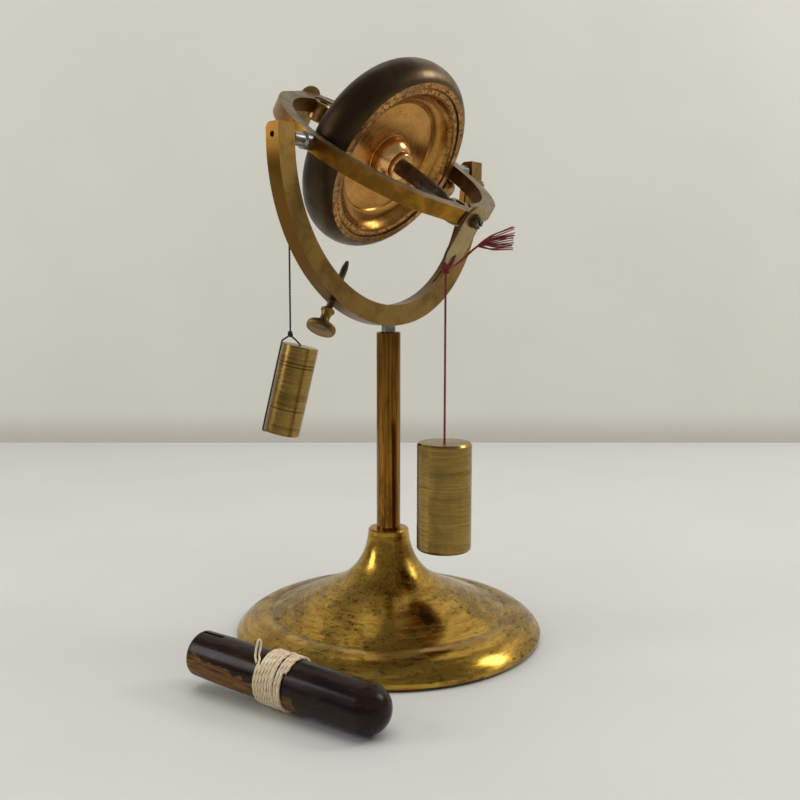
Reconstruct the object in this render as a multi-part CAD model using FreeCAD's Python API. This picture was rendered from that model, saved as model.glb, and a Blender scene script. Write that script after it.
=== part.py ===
import FreeCAD, Part
import math
import os

from FreeCAD import Placement, Rotation, Vector

# Demonstration gyroscope on a brass stand: a rotor spins in a gimbal ring, the ring tilts in a
# fork, and the fork turns on the stem. Two weights hang from the ring's ends on threads.
# Frame, in millimetres: origin at the centre of the foot's resting plane, +Z up the stem,
# X along the ring's trunnions, Y along the rotor's axis when the ring is level.

# ---- driving dimensions ----
TRUNNION_HEIGHT = 189.0      # ring's tilt axis above the table
RING_TILT = 33.5             # degrees, the -Y end of the ring hangs down at rest
RING_SHIFT = -1.5            # the ring floats this far along X in its trunnions

FORK_ARC_DROP = 1.0          # centre of the fork's half circle below the tilt axis
FORK_INNER_R = 56.0
FORK_OUTER_R = 64.0
FORK_WIDTH = 5.8
FORK_TIP_RISE = 4.2          # top of an arm above the tilt axis
FORK_TIP_ROUNDING = 2.2
FORK_GROOVE_WIDTH = 0.7
FORK_GROOVE_DEPTH = 0.9
FORK_GROOVE_FROM = 33.0      # degrees round the arc from the bottom, where the groove ends

KEEPER_PLACE = (-1.2, TRUNNION_HEIGHT - 5.0)   # y and z on the +X arm's outer face

STEM_R = 4.75
STEM_TOP = 121.6
STEM_SOCKET_FLOOR = 40.0
STEM_TENON_R = 4.0
FOOT_COLLAR_R = 8.1
FOOT_COLLAR_TOP = 43.0
FOOT_R = 61.0
FOOT_BOSS_FACE = 10.0        # underside of the boss that the nut draws against
FOOT_BOSS_R = 11.0

PIVOT_SHOULDER_R = 2.75
PIVOT_JOURNAL_R = 2.0
PIVOT_JOURNAL_LENGTH = 24.0
RUNNING_CLEARANCE = 0.05     # radial, on every journal

TRUNNION_R = 2.4
TRUNNION_COLLAR_R = 3.1
TRUNNION_PIVOT_R = 0.95
TRUNNION_RECESS = 1.5        # pivot's end inside the arm's outer face

RING_HALF_HEIGHT = 2.85
RING_INNER_R = 40.2
RING_END = 46.8              # end flats from the centre, along the rotor's axis
RING_END_HALF_FLAT = 5.0
RING_CORNER = (24.3, 39.2)
RING_SIDE_X = 45.0

TRIM_KNOB_X = 42.8           # in the ring's own frame, under its +X side
TRIM_KNOB_Y = -3.8

BUSH_R = 4.1
BUSH_PLACE = 39.2            # its upright axis from the ring's centre
BUSH_TOP = 2.4
BUSH_BOTTOM = -5.4
BUSH_SPIGOT_R = 2.3
OIL_HOLE_R = 2.0

PIVOT_SCREW_R = 1.75
PIVOT_SCREW_INNER_END = 38.2
PIVOT_HEAD_R = 2.7
PIVOT_HEAD_LENGTH = 3.0
SLOT_WIDTH = 0.8

PLATE_THICKNESS = 1.0
PLATE_HALF_WIDTH = 5.75
PLATE_BOTTOM = -18.8         # lower end below the ring's mid-plane
PLATE_HOLE_DROP = -15.4
PLATE_HOLE_R = 1.0
PLATE_SCREW_HOLE_R = 1.8

ROTOR_R = 38.2
RIM_SECTION_CENTRE = 32.0
RIM_HALF_WIDTH = 8.3
DISC_R = 33.4
SHAFT_R = 3.2
SHAFT_HALF_LENGTH = 38.9

CLAMP_ANGLE = 32.3           # degrees from the fork's bottom, towards the -X arm
CLAMP_TIP_R = 46.9
CLAMP_SHANK_R = 1.25
CLAMP_COLLAR_FROM = 67.6
CLAMP_KNOB_FACE = 76.6
CLAMP_KNOB_R = 5.5

RED_THREAD_R = 0.42
BLACK_THREAD_R = 0.38
KNOT_R = 1.3

HEAVY_WEIGHT_R = 10.45
HEAVY_WEIGHT_HEIGHT = 41.6
HEAVY_WEIGHT_TOP = 80.4
HEAVY_RECESS_R = 5.0
HEAVY_RECESS_DEPTH = 10.2    # sets its mass, so that the ring balances at its lean
LIGHT_WEIGHT_R = 7.75
LIGHT_WEIGHT_LENGTH = 38.6
LIGHT_WEIGHT_TILT = 13.0     # degrees off plumb
LIGHT_SLING_TOP = 119.0
LIGHT_WEIGHT_CENTRE = 95.6   # height above the table, plumb under the far knot
THREAD_BORE_R = 0.8

HANDLE_R = 8.2
HANDLE_BUTT = (-81.5, 21.5)  # centre of the flat end, and below, centre of the round nose
HANDLE_NOSE = (-76.4, -49.0)
WINDING_FROM = 31.4          # from the butt along the handle
WINDING_TO = 44.0
WINDING_THICKNESS = 1.3      # one turn of twine
TABLE_GAP = 0.25             # keeps the lying pieces just clear of the table

# thread and twine routes: the tail and its fan are offsets from the near knot
RED_TAIL_ROUTE = ((3.4, -0.4, 0.8), (8.0, -1.9, 3.6), (12.6, -4.2, 8.0), (16.4, -7.0, 11.2))
TASSEL_ENDS = ((23.4, -15.6, 16.0), (23.8, -15.2, 8.2))
# the leg beside the plate, in the level ring's frame
RED_LEG_ROUTE = ((-5.4, -46.9, 2.6), (-6.35, -47.0, 0.4), (-6.35, -47.3, -6.5), (-6.35, -47.3, -13.4),
                 (-4.6, -47.3, -18.2), (-1.2, -47.3, -20.9))
TWINE_TAIL_ROUTE = ((-85.4, -10.3, 16.5), (-84.7, -8.9, 17.9), (-83.2, -8.1, 20.2), (-81.8, -7.6, 22.9),
                    (-80.6, -8.0, 22.1), (-81.6, -8.5, 20.2), (-83.3, -9.3, 18.0), (-84.0, -10.5, 17.2))
TWINE_TAIL_R = 0.3
SLING_BEND_R = 0.9           # where the sling goes over the small weight's rims
LEAN_AXIS = Vector(0.8, 0.6, 0)
SLING_SIDE = Vector(-0.6, 0.8, 0)

X_AXIS = Vector(1, 0, 0)
Y_AXIS = Vector(0, 1, 0)
Z_AXIS = Vector(0, 0, 1)
ORIGIN = Vector(0, 0, 0)
ARC_CENTRE = Vector(0, 0, TRUNNION_HEIGHT - FORK_ARC_DROP)
RING_CENTRE = Vector(RING_SHIFT, 0, TRUNNION_HEIGHT)
IN_RING = Placement(RING_CENTRE, Rotation(X_AXIS, RING_TILT))


# ---- helpers ----
def point(r, z):
    return Vector(r, 0, z)


def line(start, end):
    return Part.LineSegment(start, end).toShape()


def arc(start, middle, end):
    return Part.Arc(start, middle, end).toShape()


def spline(points):
    curve = Part.BSplineCurve()
    curve.interpolate(points)
    return curve.toShape()


def polygon_edges(points):
    return [line(a, b) for a, b in zip(points, points[1:])]


def revolve(edges, axis=Z_AXIS):
    face = Part.Face(Part.Wire(edges))
    return face.revolve(ORIGIN, axis, 360)


def cylinder(radius, start, end):
    direction = end.sub(start)
    return Part.makeCylinder(radius, direction.Length, start, direction)


def cone(radius_start, radius_end, start, end):
    direction = end.sub(start)
    return Part.makeCone(radius_start, radius_end, direction.Length, start, direction)


def block(x, y, z):
    """A box from its (low, high) pairs along X, Y and Z."""
    return Part.makeBox(x[1] - x[0], y[1] - y[0], z[1] - z[0], Vector(x[0], y[0], z[0]))


def prism(edges, direction):
    return Part.Face(Part.Wire(edges)).extrude(direction)


def fuse(shapes):
    whole = shapes[0]
    for shape in shapes[1:]:
        whole = whole.fuse(shape)
    return whole.removeSplitter()


def in_ring(shape):
    """Carry a shape from the level ring's own frame to its tilted place."""
    placed = shape.copy()
    placed.Placement = IN_RING.multiply(placed.Placement)
    return placed


def ring_point(x, y, z):
    return IN_RING.multVec(Vector(x, y, z))


def mirrored_y(shape):
    return shape.mirror(ORIGIN, Y_AXIS)


def tube(points, radius, label, tightest=math.inf):
    """A cord's solid: straight runs joined by tangent arcs, as large as the runs or the edge allow."""
    edges = []
    radii = []
    last = points[0]
    for before, corner, after in zip(points, points[1:], points[2:]):
        into = corner.sub(before)
        out = after.sub(corner)
        turn = into.getAngle(out)
        reach = min(0.45 * min(into.Length, out.Length), tightest * math.tan(turn / 2))
        radii.append(reach / math.tan(turn / 2))
        into.normalize()
        out.normalize()
        start = corner.sub(into * reach)
        end = corner.add(out * reach)
        bisector = out.sub(into)
        bisector.normalize()
        centre = corner.add(bisector * math.hypot(reach, radii[-1]))
        to_corner = corner.sub(centre)
        to_corner.normalize()
        edges.append(line(last, start))
        edges.append(arc(start, centre.add(to_corner * radii[-1]), end))
        last = end
    edges.append(line(last, points[-1]))
    path = Part.Wire(edges)
    ring = Part.Wire(Part.makeCircle(radius, points[0], points[1].sub(points[0])))
    solid = path.makePipeShell([ring], True, False)
    expected = math.pi * radius ** 2 * path.Length
    smallest = f"{min(radii):.1f}" if radii else "none"
    print(f"{label}: length {path.Length:.1f}, smallest radius {smallest}, "
          f"volume {solid.Volume / expected:.3f} of section times length")
    return solid


# ---- stand ----
def make_foot():
    """Cast foot: trumpet neck, low dome and a rounded rim, hollow below, with a central boss."""
    socket_r = STEM_R + 0.1
    flare = [point(8.2, 41.0), point(8.9, 37.0), point(10.4, 32.5), point(13.6, 27.4), point(18.4, 23.0),
             point(26.0, 19.2), point(36.0, 14.8), point(46.8, 10.0)]
    outer = [
        line(point(socket_r, FOOT_COLLAR_TOP), point(FOOT_COLLAR_R - 0.6, FOOT_COLLAR_TOP)),
        line(point(FOOT_COLLAR_R - 0.6, FOOT_COLLAR_TOP), point(FOOT_COLLAR_R, FOOT_COLLAR_TOP - 0.6)),
        line(point(FOOT_COLLAR_R, FOOT_COLLAR_TOP - 0.6), flare[0]),
        spline(flare),
        arc(flare[-1], point(55.6, 8.0), point(FOOT_R, 3.0)),
        arc(point(FOOT_R, 3.0), point(60.6, 1.0), point(59.0, 0)),
    ]
    inner = [
        line(point(59.0, 0), point(56.0, 0)),
        arc(point(56.0, 0), point(53.6, 3.6), point(47.0, 6.2)),
        spline([point(47.0, 6.2), point(36.0, 10.6), point(26.0, 14.6), point(17.0, 18.0)]),
        line(point(17.0, 18.0), point(FOOT_BOSS_R, 18.0)),
        line(point(FOOT_BOSS_R, 18.0), point(FOOT_BOSS_R, FOOT_BOSS_FACE)),
        line(point(FOOT_BOSS_R, FOOT_BOSS_FACE), point(STEM_TENON_R, FOOT_BOSS_FACE)),
        line(point(STEM_TENON_R, FOOT_BOSS_FACE), point(STEM_TENON_R, STEM_SOCKET_FLOOR)),
        line(point(STEM_TENON_R, STEM_SOCKET_FLOOR), point(socket_r, STEM_SOCKET_FLOOR)),
        line(point(socket_r, STEM_SOCKET_FLOOR), point(socket_r, FOOT_COLLAR_TOP)),
    ]
    return revolve(outer + inner)


def make_stem():
    """Brass rod bored from the top for the fork's pivot, with a threaded tenon below."""
    bore_r = PIVOT_JOURNAL_R + RUNNING_CLEARANCE
    bore_floor = STEM_TOP - PIVOT_JOURNAL_LENGTH - 1.0
    outline = [point(bore_r, bore_floor), point(bore_r, STEM_TOP), point(STEM_R - 0.5, STEM_TOP),
               point(STEM_R, STEM_TOP - 0.5), point(STEM_R, STEM_SOCKET_FLOOR),
               point(STEM_TENON_R, STEM_SOCKET_FLOOR), point(STEM_TENON_R, 3.2),
               point(STEM_TENON_R - 0.7, 2.5), point(0, 2.5), point(0, bore_floor - 0.8),
               point(bore_r, bore_floor)]
    return revolve(polygon_edges(outline))


def make_foot_washer():
    plate = cylinder(9.5, point(0, FOOT_BOSS_FACE - 1.4), point(0, FOOT_BOSS_FACE))
    return plate.cut(cylinder(STEM_TENON_R + 0.2, point(0, 0), point(0, FOOT_BOSS_FACE + 1)))


def make_foot_nut():
    """Hexagonal nut that draws the stem down into the foot."""
    half_corner = 7.6
    top = FOOT_BOSS_FACE - 1.4
    bottom = 3.4
    angles = [math.radians(60 * k) for k in range(6)]
    corners = [Vector(half_corner * math.cos(a), half_corner * math.sin(a), bottom) for a in angles]
    hexagon = prism(polygon_edges(corners + corners[:1]), Vector(0, 0, top - bottom))
    bevel = cone(6.7, 12.0, point(0, bottom), point(0, bottom + 4.0))
    hexagon = hexagon.common(fuse([bevel, cylinder(12.0, point(0, bottom + 4.0), point(0, top))]))
    return hexagon.cut(cylinder(STEM_TENON_R, point(0, 0), point(0, FOOT_BOSS_FACE)))


# ---- fork ----
def fork_outline():
    """The fork's face in the XZ plane: a half ring whose arms run on to the tips."""
    tip = TRUNNION_HEIGHT + FORK_TIP_RISE
    level = ARC_CENTRE.z
    outer_left = Vector(-FORK_OUTER_R, 0, level)
    outer_right = Vector(FORK_OUTER_R, 0, level)
    inner_left = Vector(-FORK_INNER_R, 0, level)
    inner_right = Vector(FORK_INNER_R, 0, level)
    return [
        line(Vector(-FORK_OUTER_R, 0, tip), outer_left),
        arc(outer_left, Vector(0, 0, level - FORK_OUTER_R), outer_right),
        line(outer_right, Vector(FORK_OUTER_R, 0, tip)),
        line(Vector(FORK_OUTER_R, 0, tip), Vector(FORK_INNER_R, 0, tip)),
        line(Vector(FORK_INNER_R, 0, tip), inner_right),
        arc(inner_right, Vector(0, 0, level - FORK_INNER_R), inner_left),
        line(inner_left, Vector(-FORK_INNER_R, 0, tip)),
        line(Vector(-FORK_INNER_R, 0, tip), Vector(-FORK_OUTER_R, 0, tip)),
    ]


def clamp_direction():
    """Unit vector from the arc's centre out along the clamp screw."""
    angle = math.radians(CLAMP_ANGLE)
    return Vector(-math.sin(angle), 0, -math.cos(angle))


def clamp_point(radius):
    return ARC_CENTRE.add(clamp_direction() * radius)


def make_fork():
    half = FORK_WIDTH / 2
    body = prism(fork_outline(), Vector(0, FORK_WIDTH, 0))
    body.translate(Vector(0, -half, 0))
    # the tips are flat with their back corner rounded off
    tip = TRUNNION_HEIGHT + FORK_TIP_RISE
    round_y = half - FORK_TIP_ROUNDING
    round_z = tip - FORK_TIP_ROUNDING
    reach = FORK_OUTER_R + 1
    square_corner = block((-reach, reach), (round_y, half + 1), (round_z, tip + 1))
    corner_ends = (Vector(-reach, round_y, round_z), Vector(reach, round_y, round_z))
    body = body.cut(square_corner.cut(cylinder(FORK_TIP_ROUNDING, *corner_ends)))
    # trunnion holes right through both arms
    hole_r = TRUNNION_PIVOT_R + RUNNING_CLEARANCE
    body = body.cut(cylinder(hole_r, Vector(-reach, 0, TRUNNION_HEIGHT), Vector(reach, 0, TRUNNION_HEIGHT)))
    # seat of the pivot's tenon, tapped hole of the clamp screw and hole of the keeper screw
    seat_top = ARC_CENTRE.z - FORK_INNER_R
    body = body.cut(cylinder(PIVOT_JOURNAL_R, Vector(0, 0, seat_top - 20), Vector(0, 0, seat_top - 1.6)))
    clamp_ends = (clamp_point(FORK_INNER_R - 3), clamp_point(FORK_OUTER_R + 3))
    body = body.cut(cylinder(CLAMP_SHANK_R + 0.05, *clamp_ends))
    keeper_ends = (Vector(FORK_OUTER_R - 4, *KEEPER_PLACE), Vector(FORK_OUTER_R + 1, *KEEPER_PLACE))
    body = body.cut(cylinder(0.8, *keeper_ends))
    return body.cut(fork_groove())


def fork_groove():
    """Saw-cut groove along the middle of the +X arm's inner face, square at its lower end."""
    floor_r = FORK_INNER_R + FORK_GROOVE_DEPTH
    half = FORK_GROOVE_WIDTH / 2
    start = Vector(0, -half, ARC_CENTRE.z)
    band = Part.makeCylinder(floor_r, FORK_GROOVE_WIDTH, start, Y_AXIS)
    band = band.cut(Part.makeCylinder(FORK_INNER_R - 1, FORK_GROOVE_WIDTH, start, Y_AXIS))
    keep = block((0, floor_r + 1), (-1, 1), (-floor_r - 1, 0))
    angle = math.radians(FORK_GROOVE_FROM)
    below = Part.makeBox(100, 2, 100, Vector(-100, -1, -100))
    below.rotate(ORIGIN, Y_AXIS, -math.degrees(angle))
    wedge = keep.cut(below)
    wedge.translate(ARC_CENTRE)
    groove = band.common(wedge)
    groove_top = TRUNNION_HEIGHT + FORK_TIP_RISE - 3.0
    straight = block((FORK_INNER_R - 1, floor_r), (-half, half), (ARC_CENTRE.z, groove_top))
    return groove.fuse(straight)


def make_fork_pivot():
    """Steel pivot: a tenon riveted in the fork, a shoulder that turns on the stem, and a journal."""
    shoulder_top = ARC_CENTRE.z - FORK_OUTER_R
    tenon = cylinder(PIVOT_JOURNAL_R, Vector(0, 0, shoulder_top), Vector(0, 0, shoulder_top + 6.4))
    shoulder = cylinder(PIVOT_SHOULDER_R, Vector(0, 0, STEM_TOP), Vector(0, 0, shoulder_top))
    journal_end = STEM_TOP - PIVOT_JOURNAL_LENGTH
    journal = cylinder(PIVOT_JOURNAL_R, Vector(0, 0, journal_end), Vector(0, 0, STEM_TOP))
    behind_fork = Vector(0, -FORK_WIDTH / 2 - 1, ARC_CENTRE.z)
    saddle = Part.makeCylinder(FORK_OUTER_R, FORK_WIDTH + 2, behind_fork, Y_AXIS)
    return fuse([shoulder.cut(saddle), journal, tenon])


def make_keeper_screw():
    """Small round-headed screw in the outer face of the +X arm, just below the trunnion."""
    base = Vector(FORK_OUTER_R, *KEEPER_PLACE)
    head = Part.makeSphere(1.9, base.add(Vector(1.5, 0, 0)))
    head = head.common(block((FORK_OUTER_R, FORK_OUTER_R + 5), (-6, 4), (base.z - 5, base.z + 5)))
    slot = block((FORK_OUTER_R + 2.7, FORK_OUTER_R + 5), (-6, 4), (base.z - 0.25, base.z + 0.25))
    shank = cylinder(0.8, base.sub(Vector(4, 0, 0)), base)
    return fuse([head, shank]).cut(slot)


def make_clamp_shank():
    """Threaded steel shank, modelled smooth with a conical tip."""
    body = cylinder(CLAMP_SHANK_R, clamp_point(CLAMP_TIP_R + 3.2), clamp_point(CLAMP_COLLAR_FROM + 6.0))
    tip = cone(0.75, CLAMP_SHANK_R, clamp_point(CLAMP_TIP_R + 0.5), clamp_point(CLAMP_TIP_R + 3.2))
    nose = cone(0.35, 0.75, clamp_point(CLAMP_TIP_R), clamp_point(CLAMP_TIP_R + 0.5))
    return fuse([body, tip, nose])


def make_clamp_knob():
    """Turned brass head: a small collar, a waisted neck and a flat disc with a milled edge."""
    reach = CLAMP_KNOB_FACE - CLAMP_COLLAR_FROM
    disc_from = reach - 2.6
    edges = [
        line(point(CLAMP_SHANK_R, 0), point(2.2, 0)),
        arc(point(2.2, 0), point(2.6, 0.7), point(2.2, 1.4)),
        arc(point(2.2, 1.4), point(1.75, 3.6), point(2.5, disc_from - 0.6)),
        line(point(2.5, disc_from - 0.6), point(CLAMP_KNOB_R - 0.5, disc_from)),
        arc(point(CLAMP_KNOB_R - 0.5, disc_from), point(CLAMP_KNOB_R, disc_from + 1.3),
            point(CLAMP_KNOB_R - 0.5, reach)),
        line(point(CLAMP_KNOB_R - 0.5, reach), point(0, reach)),
        line(point(0, reach), point(0, 6.0)),
        line(point(0, 6.0), point(CLAMP_SHANK_R, 6.0)),
        line(point(CLAMP_SHANK_R, 6.0), point(CLAMP_SHANK_R, 0)),
    ]
    knob = revolve(edges)
    knob.Placement = Placement(clamp_point(CLAMP_COLLAR_FROM), Rotation(Z_AXIS, clamp_direction()))
    return knob


# ---- gimbal ring, in its own level frame ----
def make_gimbal_ring():
    """Flat ring with round sides, two end flats for the bearings and a facet beside each flat."""
    flat = RING_END_HALF_FLAT
    x, y = RING_CORNER
    low = -RING_HALF_HEIGHT

    def at(px, py):
        return Vector(px, py, low)

    outline = [
        line(at(-flat, -RING_END), at(flat, -RING_END)),
        line(at(flat, -RING_END), at(x, -y)),
        arc(at(x, -y), at(RING_SIDE_X, 0), at(x, y)),
        line(at(x, y), at(flat, RING_END)),
        line(at(flat, RING_END), at(-flat, RING_END)),
        line(at(-flat, RING_END), at(-x, y)),
        arc(at(-x, y), at(-RING_SIDE_X, 0), at(-x, -y)),
        line(at(-x, -y), at(-flat, -RING_END)),
    ]
    ring = prism(outline, Vector(0, 0, 2 * RING_HALF_HEIGHT))
    opening = cylinder(RING_INNER_R, Vector(0, 0, low - 1), Vector(0, 0, -low + 1))
    ring = ring.cut(opening)
    for side in (-1, 1):
        bush_axis = side * BUSH_PLACE
        seat = cylinder(BUSH_R, Vector(0, bush_axis, low - 1), Vector(0, bush_axis, -low + 1))
        bore = cylinder(BUSH_SPIGOT_R, Vector(0, side * 36, 0), Vector(0, side * (RING_END + 1), 0))
        stud_hole = cylinder(1.5, Vector(side * 36, 0, 0), Vector(side * (RING_SIDE_X + 1), 0, 0))
        ring = ring.cut(fuse([seat, bore])).cut(stud_hole)
    knob_ends = (Vector(TRIM_KNOB_X, TRIM_KNOB_Y, low - 1), Vector(TRIM_KNOB_X, TRIM_KNOB_Y, -1.6))
    knob_hole = cylinder(1.0, *knob_ends)
    return in_ring(ring.cut(knob_hole))


def make_trunnion(side):
    """Steel stud screwed into the ring, with a collar and a turned-down pivot for the fork's arm."""
    wall = RING_SIDE_X * side
    arm = FORK_INNER_R * side - RING_SHIFT
    pivot_end = (FORK_OUTER_R - TRUNNION_RECESS) * side - RING_SHIFT
    thread = cylinder(1.5, Vector(side * RING_INNER_R, 0, 0), Vector(wall, 0, 0))
    collar_end = Vector(wall + 2.6 * side, 0, 0)
    collar = cylinder(TRUNNION_COLLAR_R, Vector(wall, 0, 0), collar_end)
    rounding = cone(TRUNNION_COLLAR_R, TRUNNION_R, collar_end, Vector(wall + 3.6 * side, 0, 0))
    stud_end = arm - 0.8 * side
    stud = cylinder(TRUNNION_R, Vector(wall + 3.6 * side, 0, 0), Vector(stud_end - 0.5 * side, 0, 0))
    bevel = cone(TRUNNION_R, TRUNNION_R - 0.5, Vector(stud_end - 0.5 * side, 0, 0), Vector(stud_end, 0, 0))
    pivot = cylinder(TRUNNION_PIVOT_R, Vector(stud_end, 0, 0), Vector(pivot_end, 0, 0))
    return in_ring(fuse([thread, collar, rounding, stud, bevel, pivot]))


def make_bush():
    """Upright brass bearing post at the -Y end; the oil hole in its top meets the pivot's bore."""
    bottom, shoulder, rim, top = [Vector(0, -BUSH_PLACE, z)
                                  for z in (BUSH_BOTTOM, BUSH_BOTTOM + 0.8, BUSH_TOP - 0.5, BUSH_TOP)]
    body = cylinder(BUSH_R, shoulder, rim)
    crown = cone(BUSH_R, BUSH_R - 0.5, rim, top)
    foot = cone(BUSH_R - 0.8, BUSH_R, bottom, shoulder)
    spigot = cylinder(BUSH_SPIGOT_R, Vector(0, -RING_END, 0), Vector(0, -BUSH_PLACE, 0))
    bore_end = Vector(0, BUSH_R - BUSH_PLACE + 1, 0)
    bore = cylinder(PIVOT_SCREW_R, Vector(0, -RING_END - 1, 0), bore_end)
    oil_hole = cylinder(OIL_HOLE_R, Vector(0, -BUSH_PLACE, 0.9), Vector(0, -BUSH_PLACE, BUSH_TOP + 1))
    return fuse([body, crown, foot, spigot]).cut(bore).cut(oil_hole)


def make_pivot_screw():
    """Steel screw with a coned seat for the shaft's point and a slotted head outside the plate."""
    head_from = -RING_END - PLATE_THICKNESS
    shank = cylinder(PIVOT_SCREW_R, Vector(0, -PIVOT_SCREW_INNER_END, 0), Vector(0, head_from, 0))
    seat = cone(1.5, 0.1, Vector(0, -PIVOT_SCREW_INNER_END, 0), Vector(0, -PIVOT_SCREW_INNER_END - 1.5, 0))
    washer = cylinder(PIVOT_HEAD_R, Vector(0, head_from, 0), Vector(0, head_from - 0.8, 0))
    head_end = head_from - PIVOT_HEAD_LENGTH
    head = cylinder(PIVOT_HEAD_R - 0.5, Vector(0, head_from - 0.8, 0), Vector(0, head_end + 0.5, 0))
    crown = cone(PIVOT_HEAD_R - 0.5, PIVOT_HEAD_R - 1.0, Vector(0, head_end + 0.5, 0), Vector(0, head_end, 0))
    slot = block((-4, 4), (head_end - 1, head_end + 1.0), (-SLOT_WIDTH / 2, SLOT_WIDTH / 2))
    slot.rotate(ORIGIN, Y_AXIS, 35)
    return fuse([shank, washer, head, crown]).cut(seat).cut(slot)


def make_hanger_plate():
    """Brass strip clamped under the pivot screw, with a round top, a round foot and a thread hole."""
    half = PLATE_HALF_WIDTH
    front = -RING_END - PLATE_THICKNESS
    top_centre = -0.3
    foot_centre = PLATE_BOTTOM + half

    def at(x, z):
        return Vector(x, front, z)

    outline = [
        arc(at(-half, top_centre), at(0, top_centre + half), at(half, top_centre)),
        line(at(half, top_centre), at(half, foot_centre)),
        arc(at(half, foot_centre), at(0, PLATE_BOTTOM), at(-half, foot_centre)),
        line(at(-half, foot_centre), at(-half, top_centre)),
    ]
    plate = prism(outline, Vector(0, PLATE_THICKNESS, 0))
    back = -RING_END + 1
    plate = plate.cut(cylinder(PLATE_SCREW_HOLE_R, Vector(0, front - 1, 0), Vector(0, back, 0)))
    hole = cylinder(PLATE_HOLE_R, Vector(0, front - 1, PLATE_HOLE_DROP), Vector(0, back, PLATE_HOLE_DROP))
    return plate.cut(hole)


def make_trim_knob():
    """Turned brass knob under the ring's +X side, screwed up into the ring."""
    neck = cylinder(1.0, Vector(0, 0, 0), Vector(0, 0, 1.2))
    edges = [
        line(point(0, 0), point(1.4, 0)),
        line(point(1.4, 0), point(1.4, -0.9)),
        spline([point(1.4, -0.9), point(3.2, -2.2), point(3.7, -4.2), point(3.2, -6.4), point(2.2, -7.6)]),
        line(point(2.2, -7.6), point(0, -8.0)),
        line(point(0, -8.0), point(0, 0)),
    ]
    knob = fuse([revolve(edges), neck])
    knob.translate(Vector(TRIM_KNOB_X, TRIM_KNOB_Y, -RING_HALF_HEIGHT))
    return in_ring(knob)


# ---- rotor, axis along Y in the ring's frame ----
def about_y(edges):
    """Revolve a half section drawn with x as radius and z as distance along the axis."""
    solid = revolve(edges)
    solid.rotate(ORIGIN, X_AXIS, -90)
    return solid


def rim_side(radius):
    """Half width of the rim's oval section at a radius outside its widest place."""
    run = (radius - RIM_SECTION_CENTRE) / (ROTOR_R - RIM_SECTION_CENTRE)
    return RIM_HALF_WIDTH * math.sqrt(1 - run ** 2)


def make_rotor_rim():
    """Heavy rim with an oval outside, shrunk on to the disc."""
    at_disc = rim_side(DISC_R)
    steps = 5
    radii = [DISC_R + (ROTOR_R - DISC_R) * math.sin(math.pi / 2 * k / steps) for k in range(steps + 1)]
    upper = [point(r, rim_side(min(r, ROTOR_R))) for r in radii]
    lower = [point(p.x, -p.z) for p in reversed(upper[:-1])]
    edges = [spline(upper + lower), line(point(DISC_R, -at_disc), point(DISC_R, at_disc))]
    return in_ring(about_y(edges))


def make_rotor_disc():
    """Dished web with a stepped border inside the rim and a bell-shaped hub on each side."""
    at_disc = rim_side(DISC_R)
    half = [
        line(point(DISC_R, 0), point(DISC_R, at_disc)),
        line(point(DISC_R, at_disc), point(31.2, 8.0)),
        line(point(31.2, 8.0), point(31.0, 7.4)),
        arc(point(31.0, 7.4), point(29.6, 7.6), point(28.3, 7.0)),
        arc(point(28.3, 7.0), point(26.1, 3.9), point(22.6, 2.0)),
        line(point(22.6, 2.0), point(22.2, 1.5)),
        line(point(22.2, 1.5), point(9.6, 1.4)),
        line(point(9.6, 1.4), point(9.4, 1.0)),
        line(point(9.4, 1.0), point(9.0, 1.2)),
        arc(point(9.0, 1.2), point(8.3, 5.0), point(5.9, 7.4)),
        line(point(5.9, 7.4), point(SHAFT_R, 7.4)),
        line(point(SHAFT_R, 7.4), point(SHAFT_R, 0)),
        line(point(SHAFT_R, 0), point(DISC_R, 0)),
    ]
    front = about_y(half)
    return in_ring(fuse([front, mirrored_y(front)]))


def make_hub_collar():
    """Brass collar that holds the disc on its shaft, on the -Y side."""
    edges = [
        line(point(SHAFT_R, 7.4), point(4.6, 7.4)),
        line(point(4.6, 7.4), point(4.6, 7.9)),
        line(point(4.6, 7.9), point(5.4, 7.9)),
        arc(point(5.4, 7.9), point(5.5, 8.7), point(4.9, 9.3)),
        line(point(4.9, 9.3), point(SHAFT_R, 9.3)),
        line(point(SHAFT_R, 9.3), point(SHAFT_R, 7.4)),
    ]
    return mirrored_y(about_y(edges))


def make_rotor_shaft():
    """Steel shaft: full size in the disc, tapering to a point at each end."""
    half = [
        line(point(0, 0), point(SHAFT_R, 0)),
        line(point(SHAFT_R, 0), point(SHAFT_R, 10.5)),
        line(point(SHAFT_R, 10.5), point(2.5, 31.0)),
        arc(point(2.5, 31.0), point(2.0, 33.0), point(1.3, 34.4)),
        line(point(1.3, 34.4), point(1.25, 37.2)),
        line(point(1.25, 37.2), point(0.15, SHAFT_HALF_LENGTH)),
        line(point(0.15, SHAFT_HALF_LENGTH), point(0, SHAFT_HALF_LENGTH)),
        line(point(0, SHAFT_HALF_LENGTH), point(0, 0)),
    ]
    front = about_y(half)
    return in_ring(fuse([front, mirrored_y(front)]))


# ---- threads and weights ----
def knot_point(side):
    """Where a thread's knot sits, close under the foot of the plate at that end of the ring."""
    return ring_point(0, side * (RING_END + PLATE_THICKNESS / 2), PLATE_BOTTOM - 2.4)


def make_knot(centre, radius, half_height):
    """A knot's envelope: a short upright barrel with rounded rims."""
    rise = Vector(0, 0, half_height)
    barrel = cylinder(radius, centre.sub(rise), centre.add(rise))
    rims = [edge for edge in barrel.Edges if edge.Closed]
    return barrel.makeFillet(0.5 * radius, rims)


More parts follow.
